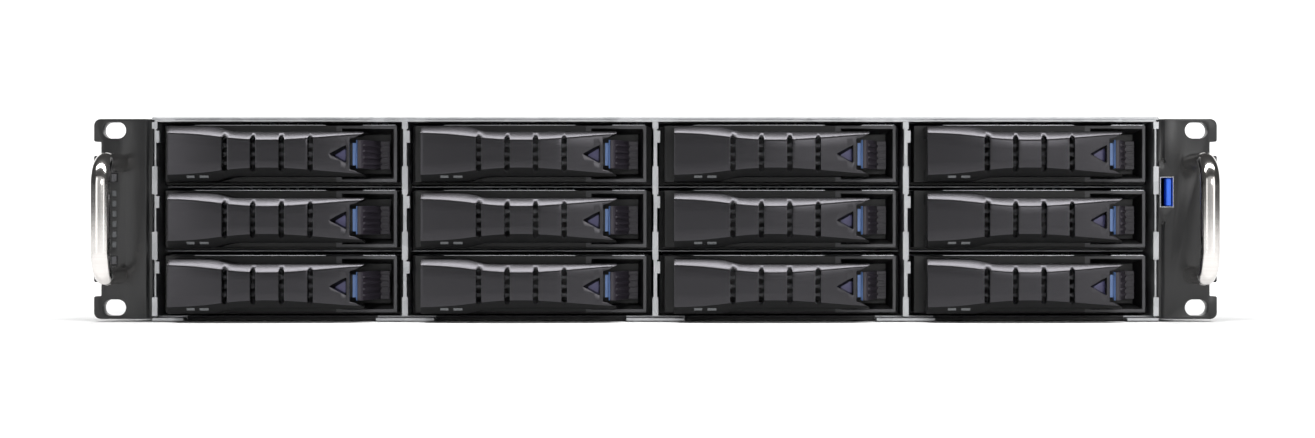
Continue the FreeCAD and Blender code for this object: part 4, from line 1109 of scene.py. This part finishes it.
@dataclass
class ContactSprings:
    """Steel strips with sprung fingers on top of each bezel, in bay millimetres."""

    strips: tuple[Span, ...] = ((16.5, 73.0), (89.0, 103.0))
    along: Span = (-2.1, 6.0)
    base: float = 12.25
    thick: float = 0.2
    fingers: tuple[tuple[float, int, float], ...] = ((38.5, 9, 4.0), (90.6, 4, 3.6))
    bow: tuple[Span, ...] = ((-1.8, 0.05), (-1.1, 0.6), (0.2, 0.95), (2.0, 0.8), (5.0, 0.1))
    half: float = 1.3

    def finger(self) -> Form:
        """One bowed finger, with its middle at the left end of the bay.

        Returns:
            A closed solid.
        """
        section = Solid.rectangle(about(0.0, self.half), (0.0, self.thick))
        return Solid.loft([[(x, y, self.base + rise + z) for x, z in section] for y, rise in self.bow])

    def mesh(self) -> Mesh:
        """Repeats the finger along the strips.

        Returns:
            Strips and fingers as one plain mesh.
        """
        levels = (self.base, self.base + self.thick)
        strips = Solid.joined(Solid.box(strip, self.along, levels) for strip in self.strips)
        finger = Solid.thing("spring_finger", self.finger())
        tree = Builder("contact_springs")
        shape = tree.given("Finger", "NodeSocketObject", finger)
        parts = [tree.incoming]
        for index, (start, count, pitch) in enumerate(self.fingers, 1):
            many = tree.given(f"Fingers {index}", "NodeSocketInt", count)
            step = tree.given(f"Pitch {index}", "NodeSocketVector", (pitch * MM, 0.0, 0.0))
            sockets = {"Count": many, "Start Location": (start * MM, 0.0, 0.0), "Offset": step}
            parts.append(tree.repeated(tree.node("GeometryNodeMeshLine", sockets), shape))
        together = tree.node("GeometryNodeJoinGeometry", {0: parts})
        data = tree.finish(together, strips, Finishes.SPRING_STEEL)
        bpy.data.objects.remove(finger)
        return data

    def build(self) -> None:
        """Makes the springs once and lays a copy on each bezel."""
        data = self.mesh()
        for bay in BAYS:
            settle(bay.copy("contact_springs", data), f"drive_tray_{bay}", Finishes.SPRING_STEEL)


@dataclass
class Fasteners:
    """Cross-head screws on a grid on one side of the server, in millimetres."""

    name: str
    body: str
    x: tuple[float, ...]
    y: tuple[float, ...]
    z: tuple[float, ...]
    turn: Point
    height: float = 1.3
    radius: float = 2.8
    dome: tuple[Span, ...] = ((1.0, -0.1), (1.0, 0.45), (0.9, 0.72), (0.66, 0.92), (0.4, 1.0))
    sides: int = 16
    recess: Span = (0.55, 0.13)
    recess_levels: Span = (0.3, 1.2)

    def head(self) -> Mesh:
        """One domed head that points up, with a cross recess.

        Returns:
            The head about the origin.
        """
        rings = []
        for share, rise in self.dome:
            ring = Solid.circle(self.radius * share, self.sides)
            rings.append([(x, y, self.height * rise) for x, y in ring])
        long, short = (about(0.0, self.radius * share) for share in self.recess)
        deep = tuple(self.height * share for share in self.recess_levels)
        return Solid.carved(Solid.loft(rings), [Solid.box(long, short, deep), Solid.box(short, long, deep)])

    def build(self) -> None:
        """Sets a head on every point of the grid."""
        points = product(self.x, self.y, self.z)
        stamp(self.name, self.head(), points, self.body, Finishes.PLATE_STEEL, self.turn)


SIDE_GRID = ((60, 110, 160, 330, 560), (-28, 22))
SCREWS = (
    Fasteners("rear_screws", "chassis", (-205, 120), (639.7,), (-30, 33), BACKWARD),
    Fasteners("front_cover_screws", "chassis", (-205, -70, 70, 205), (14, 160), (43.75,), UPWARD, height=0.4),
    Fasteners("rear_cover_screws", "rear_cover", (-190, 190), (628.0,), (43.75,), UPWARD, height=0.4),
    Fasteners("side_screws_right", "chassis", (216.3,), *SIDE_GRID, RIGHTWARD),
    Fasteners("side_screws_left", "chassis", (-216.3,), *SIDE_GRID, LEFTWARD),
)


@dataclass
class SupplyGuards:
    """A wire guard over the fan recess of each power supply, in millimetres."""

    middle: Point = (193.6, 640.1, 20.3)
    bases: tuple[float, ...] = (-42.3, 0.75)
    radii: tuple[float, ...] = (4.0, 8.0, 12.0, 16.0)
    ring_sides: int = 36
    wire: float = 0.45
    wire_sides: int = 8
    spoke: float = 21.0
    spoke_depths: Span = (-0.9, -0.1)

    def ring(self, radius: float, rise: float) -> Form:
        """One round wire.

        Args:
            radius: radius of the wire's middle line.
            rise: height of the guard's middle.

        Returns:
            A closed mesh.
        """
        section = Solid.circle(self.wire, self.wire_sides, (radius, self.middle[1]))
        rings = []
        for across, up in Solid.circle(1.0, self.ring_sides):
            rings.append([(self.middle[0] + reach * across, y, rise + reach * up) for reach, y in section])
        return Solid.loft(rings, loop=True)

    def build(self) -> None:
        """Hangs a guard on each power supply."""
        front, back = (self.middle[1] + depth for depth in self.spoke_depths)
        for number, base in enumerate(self.bases, 1):
            rise = base + self.middle[2]
            parts = [self.ring(radius, rise) for radius in self.radii]
            for turn in (math.pi / 4, -math.pi / 4):
                along = Vector((math.cos(turn), math.sin(turn))) * self.spoke
                beside = Vector((-math.sin(turn), math.cos(turn))) * self.wire
                corners = (along + beside, along - beside, -along - beside, -along + beside)
                outline = [(self.middle[0] + corner.x, rise + corner.y) for corner in corners]
                parts.append(Solid.prism(outline, front, back))
            piece = Solid.thing(f"fan_guard_{number}", Solid.joined(parts))
            Solid.smooth(piece.data, BUILT_ANGLE)
            settle(piece, f"power_supply_{number}", Finishes.PLATE_STEEL)


@dataclass
class PortFittings:
    """Tongues, partitions, contacts and pins inside the rear ports, in millimetres above the board."""

    mouth: float = 639.4
    edge: float = 0.15
    tongues: tuple[tuple[Span, Span], ...] = (((67.2, 77.6), (3.2, 5.0)), ((67.2, 77.6), (10.8, 12.6)))
    tongue_reach: float = 14.0
    walls: tuple[tuple[Span, Span], ...] = (((65.9, 78.9), (7.6, 8.4)), ((39.4, 53.9), (13.0, 14.0)))
    wall_reach: float = 18.0
    jacks: tuple[Span, ...] = ((46.65, 11.2), (46.65, 24.6), (20.15, 11.2), (-6.35, 11.2))
    contacts: int = 8
    contact_inset: float = 1.0
    contact_pitch: float = 1.05
    contact_section: tuple[Span, Span] = ((-0.2, 0.2), (0.0, 0.35))
    contact_bend: tuple[Span, ...] = ((0.0, 0.0), (-3.0, -0.4), (-9.0, -4.6), (-13.0, -5.2))
    plug: tuple[Span, ...] = ((-52.0, 2.4), (-28.2, 2.4), (-27.0, 11.2), (-53.2, 11.2))
    plug_depths: Span = (12.0, 1.5)
    plug_corner: float = 1.4
    plug_edge: float = 0.3
    pin_start: Span = (-47.3, 4.6)
    pin_pitch: Span = (3.6, 2.2)
    pin_count: tuple[int, int] = (5, 3)
    pin_radius: float = 0.55
    pin_half: float = 0.4
    pin_inset: float = 1.5
    pin_sides: int = 8

    def blocks(self, name: str, boxes: Sequence[tuple[Span, Span]], finish: Finishes, back: float) -> None:
        """Sets plain bars inside the ports.

        Args:
            name: name of the piece.
            boxes: ends across and ends above the board of each bar.
            finish: finish of the bars.
            back: how far the bars reach in from the mouth.
        """
        parts = []
        for across, (low, high) in boxes:
            levels = (BOARD_TOP + low, BOARD_TOP + high)
            parts.append(Solid.box(across, (self.mouth - back, self.mouth), levels))
        place(name, Solid.carved(Solid.joined(parts), edge=self.edge), "chassis", finish)

    def wires(self) -> None:
        """Sets the bent contacts into the network jacks."""
        section = Solid.rectangle(*self.contact_section)
        wire = Solid.loft([[(x, y, z + low) for x, z in section] for y, low in self.contact_bend])
        first = (self.contacts - 1) / 2
        points = [
            (x + (index - first) * self.contact_pitch, self.mouth - self.contact_inset, BOARD_TOP + z)
            for x, z in self.jacks
            for index in range(self.contacts)
        ]
        stamp("jack_contacts", Solid.carved(wire), points, "chassis", Finishes.PORT_GOLD)

    def pins(self) -> None:
        """Sets staggered rows of pins on the plug."""
        ring = Solid.circle(self.pin_radius, self.pin_sides)
        columns, rows = self.pin_count
        points = []
        for row, index in product(range(rows), range(columns)):
            across = self.pin_start[0] + self.pin_pitch[0] * (index + row % 2 / 2)
            level = BOARD_TOP + self.pin_start[1] + self.pin_pitch[1] * row
            points.append((across, self.mouth - self.pin_inset, level))
        pin = Solid.carved(Solid.prism(ring, *about(0.0, self.pin_half)))
        stamp("wide_port_pins", pin, points, "chassis", Finishes.PORT_GOLD)

    def build(self) -> None:
        """Fills every rear port."""
        self.blocks("port_tongues", self.tongues, Finishes.PORT_TONGUE, self.tongue_reach)
        self.blocks("port_walls", self.walls, Finishes.SPRING_STEEL, self.wall_reach)
        self.wires()
        outline = Solid.rounded([(x, z + BOARD_TOP) for x, z in self.plug], self.plug_corner)
        front, back = (self.mouth - depth for depth in self.plug_depths)
        plug = Solid.carved(Solid.prism(outline, front, back), edge=self.plug_edge)
        place("wide_port_plug", plug, "chassis", Finishes.PORT_TONGUE)
        self.pins()


@dataclass
class BoardParts:
    """Card slots, capacitors, chips and a small heat sink on the main board, in millimetres."""

    slot_middle: float = 553.0
    slot: tuple[Span, Span, Span] = ((-3.7, 3.7), (-45.0, 45.0), (0.0, 11.0))
    groove: tuple[Span, Span, Span] = ((-0.9, 0.9), (-43.5, 43.5), (3.0, 12.0))
    slot_edge: float = 0.4
    can: tuple[Span, ...] = ((3.9, 0.0), (3.9, 1.2), (3.6, 1.6), (3.9, 2.0), (3.9, 10.4), (3.5, 11.0))
    can_sides: int = 16
    can_rows: tuple[float, ...] = (324.0, 500.0)
    can_places: range = range(-130, 60, 14)
    chips: tuple[tuple[Span, Span, float], ...] = (
        ((-42.0, -14.0), (560.0, 588.0), 2.4),
        ((64.0, 82.0), (556.0, 574.0), 1.8),
        ((-56.0, -46.0), (520.0, 536.0), 1.6),
        ((-160.0, -148.0), (326.0, 338.0), 1.6),
    )
    chip_edge: float = 0.3
    sink: tuple[Span, Span, float] = ((2.0, 46.0), (532.0, 576.0), 16.0)
    gaps: int = 8
    gap: float = 3.0
    gap_pitch: float = 5.2
    gap_start: float = 2.6
    gap_floor: float = 4.0
    gap_past: float = 1.0
    sink_edge: float = 0.2

    def block(self, x: Span, y: Span, high: float) -> Form:
        """A block that stands on the board."""
        return Solid.box(x, y, (BOARD_TOP, BOARD_TOP + high))

    def build(self) -> None:
        """Sets every component on the board."""
        bar = Solid.carved(Solid.box(*self.slot), [Solid.box(*self.groove)], self.slot_edge)
        points = [(x, self.slot_middle, BOARD_TOP) for x in CARD_SLOTS]
        stamp("card_slots", bar, points, "chassis", Finishes.CHIP_BLACK)
        rings = [[(x, y, z) for x, y in Solid.circle(radius, self.can_sides)] for radius, z in self.can]
        points = [(x, y, BOARD_TOP) for y in self.can_rows for x in self.can_places]
        stamp("capacitors", Solid.carved(Solid.loft(rings)), points, "chassis", Finishes.CAN_METAL)
        chips = Solid.joined(self.block(*chip) for chip in self.chips)
        place("board_chips", Solid.carved(chips, edge=self.chip_edge), "chassis", Finishes.CHIP_BLACK)
        (left, _), (front, back), high = self.sink
        along = (front - self.gap_past, back + self.gap_past)
        levels = (BOARD_TOP + self.gap_floor, BOARD_TOP + high + self.gap_past)
        gaps = []
        for index in range(self.gaps):
            start = left + self.gap_start + self.gap_pitch * index
            gaps.append(Solid.box((start, start + self.gap), along, levels))
        sink = Solid.carved(self.block(*self.sink), gaps, self.sink_edge)
        place("board_sink", sink, "chassis", Finishes.SINK_ALUMINIUM)


@dataclass
class BarHandles:
    """Two bent round bars on the rack ears, in millimetres."""

    x: float = 230.6
    ear: float = -6.0
    bar: float = -39.0
    half: float = 24.0
    bend: float = 10.0
    radius: float = 4.0
    sides: int = 32
    steps: int = 14

    def path(self) -> list[Point]:
        """Middle line of the bar.

        Returns:
            Points of (y, z, heading angle).
        """
        points = [(self.ear, self.half, 0.0)]
        for sign in (1, -1):
            heading = 0.0 if sign > 0 else math.pi / 2
            middle = (self.bar + self.bend, sign * (self.half - self.bend))
            for step in range(self.steps + 1):
                turn = math.pi / 2 * step / self.steps
                angle = turn if sign > 0 else math.pi / 2 - turn
                y = middle[0] - self.bend * math.sin(angle)
                z = middle[1] + sign * self.bend * math.cos(angle)
                points.append((y, z, heading + turn))
        points.append((self.ear, -self.half, math.pi))
        return points

    def sweep(self, x: float) -> Form:
        """One bar.

        Args:
            x: place of its middle line across the server.

        Returns:
            A closed solid.
        """
        section = Solid.circle(self.radius, self.sides)
        rings = []
        for y, z, heading in self.path():
            back, up = -math.sin(heading), math.cos(heading)
            rings.append([(x + across, y + back * off, z + up * off) for off, across in section])
        return Solid.loft(rings)

    def build(self) -> None:
        """Stands a bar on each ear, both as one piece."""
        handles = Solid.thing("bar_handles", Solid.joined(self.sweep(side * self.x) for side in (-1, 1)))
        Solid.smooth(handles.data, BUILT_ANGLE)
        settle(handles, "chassis", Finishes.CHROME_BAR, "front_handles")


@dataclass
class RackEars:
    """Two glossy rack ears with round corners, folded along the chassis, in millimetres."""

    inner: float = 216.3
    outer: float = 241.3
    half: float = 43.0
    front: float = -6.0
    ahead: float = -9.0
    behind: float = 3.0
    edge: float = 0.35
    radii: tuple[float, ...] = (0.0, 2.8, 0.8, 0.5, 0.5, 0.8, 0.8, 0.5, 0.5, 0.8, 2.8, 0.0)
    slot: Span = (232.55, 38.1)
    slot_half: Span = (5.0, 3.5)
    slot_radius: float = 3.45
    slot_steps: int = 8
    notch: Point = (238.2, 27.2, 33.2)
    housing: Span = (223.9, 30.0)
    housing_edge: float = 0.8
    fold: tuple[Span, ...] = ((216.0, -4.8), (217.6, -4.8), (219.3, -6.4), (216.0, -6.4))
    fold_ends: Span = (-50.0, 50.0)
    usb: tuple[Span, Span] = ((216.8, 222.8), (5.0, 18.2))
    usb_depths: Span = (-2.0, 8.0)
    reliefs: Span = (-1.6, 24.8)
    relief: Span = (218.4, 0.9)
    relief_back: float = -4.2
    relief_sides: int = 12
    keys: tuple[float, ...] = (17.8, -17.8)
    key: Point = (1.25, -2.15, 1.85)
    lights: tuple[float, ...] = (11.0, 6.6, 2.2, -2.2, -6.6, -11.0)
    light: Point = (0.85, -4.0, 1.2)

    def plate(self, side: int) -> Form:
        """The flat of an ear with its edge notches.

        Args:
            side: minus one for the left ear, one for the right.

        Returns:
            A closed solid.
        """
        corners = [(self.inner, -self.half), (self.outer, -self.half)]
        for sign, levels in ((-1, self.notch[:0:-1]), (1, self.notch[1:])):
            low, high = (sign * level for level in levels)
            corners += [(self.outer, low), (self.notch[0], low), (self.notch[0], high), (self.outer, high)]
        corners += [(self.outer, self.half), (self.inner, self.half)]
        outline = Solid.rounded(corners, self.radii)
        return Solid.prism([(side * x, z) for x, z in outline], self.front, 0.0)

    def cutters(self, side: int) -> list[Form]:
        """Rack slots, fold groove and the openings of one ear.

        Args:
            side: minus one for the left ear, one for the right.

        Returns:
            Solids to take away.
        """
        middle, rise = self.slot
        tools = []
        for level in (-rise, rise):
            corners = Solid.rectangle(about(middle, self.slot_half[0]), about(level, self.slot_half[1]))
            outline = [(side * x, z) for x, z in Solid.rounded(corners, self.slot_radius, self.slot_steps)]
            tools.append(Solid.prism(outline, self.ahead, self.behind))
        low, high = self.fold_ends
        folds = ((low, high),) if side < 0 else ((low, self.reliefs[0]), (self.reliefs[1], high))
        for ends in folds:
            tools.append(Solid.loft([[(side * x, y, z) for x, y in self.fold] for z in ends]))
        if side > 0:
            tools.append(Solid.box(self.usb[0], (self.ahead, self.usb_depths[1]), self.usb[1]))
            for z in self.reliefs:
                ring = Solid.circle(self.relief[1], self.relief_sides, (self.relief[0], z))
                tools.append(Solid.prism(ring, self.ahead, self.relief_back))
        else:
            for levels, (wide, deep, tall) in ((self.keys, self.key), (self.lights, self.light)):
                tools += [Solid.box(about(-middle, wide), (self.ahead, deep), about(z, tall)) for z in levels]
        return tools

    def build(self) -> None:
        """Builds both ears, each with the housing behind it."""
        for side, label in ((-1, "left"), (1, "right")):
            plate = Solid.carved(self.plate(side), self.cutters(side), self.edge)
            place(f"rack_ear_{label}", plate, "chassis", Finishes.EAR_BLACK, f"ear_{label}")
            across = sorted((side * self.inner, side * self.housing[0]))
            block = Solid.box(across, (0.0, self.housing[1]), (-self.half, self.half))
            port = [Solid.box(self.usb[0], self.usb_depths, self.usb[1])] if side > 0 else []
            housing = Solid.carved(block, port, self.housing_edge)
            place(f"ear_housing_{label}", housing, "chassis", Finishes.EAR_BLACK)


@dataclass
class PackedNodes:
    """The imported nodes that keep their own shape, with the widths of their broken edges."""

    dress: tuple[tuple[Finishes, float, tuple[str, ...]], ...] = (
        (Finishes.SHEET_STEEL, 0.15, ("drive_cage", "port_shield")),
        (Finishes.SHEET_STEEL, 0.2, ("chassis_base", "slot_covers")),
        (Finishes.SHEET_STEEL, 0.25, ("front_cover", "rear_cover")),
        (Finishes.KEY_GREY, 0.2, ("power_button", "id_button")),
        (Finishes.INDICATOR_CLEAR, 0.1, ("indicator_lights",)),
        (Finishes.USB_METAL, 0.12, ("usb_port",)),
        (Finishes.CIRCUIT_GREEN, 0.1, ("backplane",)),
        (Finishes.CIRCUIT_GREEN, 0.15, ("motherboard",)),
        (Finishes.FAN_BLACK, 0.3, ("fan_wall", "fan_rotor_1", "fan_rotor_2", "fan_rotor_3")),
        (Finishes.SINK_ALUMINIUM, 0.1, ("heatsinks",)),
        (Finishes.SUPPLY_CASE, 0.4, ("power_supply_1", "power_supply_2")),
        (Finishes.LATCH_BLUE, 0.3, ("psu_latch_1", "psu_latch_2")),
        (Finishes.TRAY_BLACK, 0.35, tuple(f"drive_tray_{bay}" for bay in BAYS)),
        (Finishes.RELEASE_BLUE, 0.3, tuple(f"release_button_{bay}" for bay in BAYS)),
    )
    flat_angle: float = 0.5
    edge_angle: float = 40.0

    def soften(self, node: str, finish: Finishes, edge: float) -> None:
        """Dresses a node and breaks its edges without touching its mesh.

        Args:
            node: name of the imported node.
            finish: its finish.
            edge: width of its broken edges.
        """
        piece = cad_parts[node]
        for slot in piece.material_slots:
            slot.material = finish.value.material()
        piece.modifiers.new("join", "WELD").merge_threshold = WELD_REACH * MM
        flat = piece.modifiers.new("flat", "DECIMATE")
        flat.decimate_type = "DISSOLVE"
        flat.angle_limit = math.radians(self.flat_angle)
        Solid.bevel(piece, edge, self.edge_angle)
        LOG.info("%s keeps its shape in %s", node, finish.value.name)

    def build(self) -> None:
        """Dresses the chassis nodes, the trays and the release buttons."""
        for finish, edge, nodes in self.dress:
            for node in nodes:
                self.soften(node, finish, edge)


@dataclass
class Studio:
    """Pale sweep, soft lights and the camera, in metres."""

    floor: float = -0.0442
    reach: float = 5.5
    bend: float = 1.0
    bend_steps: int = 12
    wall: float = 4.0
    half_width: float = 6.0
    glow_starts: Point = (0.15, 0.7, 0.7)
    glow_fade: float = 0.7
    front_glow: float = 0.9
    wall_dimming: float = 0.75
    glow: float = 0.9
    surround: float = 0.06
    camera_place: Point = (0.0009, -1.006, 0.0)
    lens: float = 63.7
    sensor: float = 36.0
    lights: tuple[tuple[str, Point, Point, Span, float], ...] = (
        ("overhead", (0.0, -0.36, 1.1), (0.0, -0.02, 0.0), (2.4, 0.18), 31.0),
        ("front", (0.5, -1.35, 0.34), (0.0, 0.0, 0.0), (0.5, 0.25), 2.7),
        ("left_strip", (-0.75, -0.8, 0.02), (-0.2, 0.0, 0.0), (0.3, 0.9), 1.3),
        ("right_strip", (0.75, -0.8, 0.02), (0.2, 0.0, 0.0), (0.3, 0.9), 1.3),
    )

    def paper(self) -> bpy.types.Material:
        """White paper that glows away from the server and dims on the wall behind the camera.

        Returns:
            The material of the sweep.
        """
        shader = Shader("pale_paper_finish")
        x, y, _ = shader.axes
        behind, ahead, beside = (start / MM for start in self.glow_starts)
        edges = []
        for off in (y - behind, -ahead - y, abs(x) - beside):
            sockets = {0: off, 1: self.glow_fade / MM}
            edges.append(shader.node("ShaderNodeMath", sockets, operation="DIVIDE", use_clamp=True))
        dimming = (y < -self.reach / MM) * self.wall_dimming
        amount = edges[0] + edges[1] * (self.front_glow - dimming) + edges[2] * (1.0 - edges[1])
        colour = shader.mix(amount, (0.0, 0.0, 0.0, 1.0), (1.0, 1.0, 1.0, 1.0))
        fixed = {"Emission Color": colour, "Emission Strength": self.glow}
        return shader.surface(PAPER.sample(shader), fixed)

    def sweep(self) -> None:
        """Builds the floor that curves up at the back and behind the camera."""
        turns = [math.pi / 2 * step / self.bend_steps for step in range(self.bend_steps + 1)]
        bends = [(math.sin(turn), 1.0 - math.cos(turn)) for turn in turns]
        rise = [(self.reach + self.bend * off, self.bend * up) for off, up in bends]
        rise.append((self.reach + self.bend, self.wall))
        mesh = bmesh.new()
        rows = []
        for y, z in [(-y, z) for y, z in reversed(rise)] + rise:
            rows.append([mesh.verts.new((x, y, z + self.floor)) for x in about(0.0, self.half_width)])
        for low, high in zip(rows, rows[1:]):
            mesh.faces.new((low[0], low[1], high[1], high[0]))
        sweep = Solid.thing("studio_sweep", mesh)
        sweep.data.shade_smooth()
        sweep.data.materials.append(self.paper())

    def light(self) -> None:
        """Hangs the soft lights and sets an even surround."""
        for name, start, aim, size, power in self.lights:
            data = bpy.data.lights.new(name, "AREA")
            data.shape = "RECTANGLE"
            data.size, data.size_y = size
            data.energy = power
            lamp = linked(name, data)
            lamp.location = start
            lamp.rotation_euler = (Vector(aim) - Vector(start)).to_track_quat("-Z", "Y").to_euler()
        world = bpy.data.worlds.new("surround")
        world.use_nodes = True
        background = world.node_tree.nodes["Background"]
        background.inputs["Color"].default_value = (1.0, 1.0, 1.0, 1.0)
        background.inputs["Strength"].default_value = self.surround
        bpy.context.scene.world = world

    def shoot(self) -> None:
        """Places the camera level with the middle of the front."""
        data = bpy.data.cameras.new("camera")
        data.lens = self.lens
        data.sensor_width = self.sensor
        data.sensor_fit = "HORIZONTAL"
        camera = linked("camera", data)
        camera.location = self.camera_place
        camera.rotation_euler = (math.pi / 2, 0.0, 0.0)
        bpy.context.scene.camera = camera
        bpy.context.scene.view_settings.view_transform = "Standard"

    def build(self) -> None:
        """Sets the whole studio."""
        self.sweep()
        self.light()
        self.shoot()


def main() -> None:
    """Builds every sub-assembly in order."""
    logging.basicConfig(level=logging.INFO, format="%(message)s")
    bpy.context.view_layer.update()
    PackedNodes().build()
    TrayLevers().build()
    AirPlates().build()
    BarHandles().build()
    RackEars().build()
    ContactSprings().build()
    SupplyGuards().build()
    PortFittings().build()
    BoardParts().build()
    for screws in SCREWS:
        screws.build()
    Studio().build()


if __name__ == "__main__":
    main()
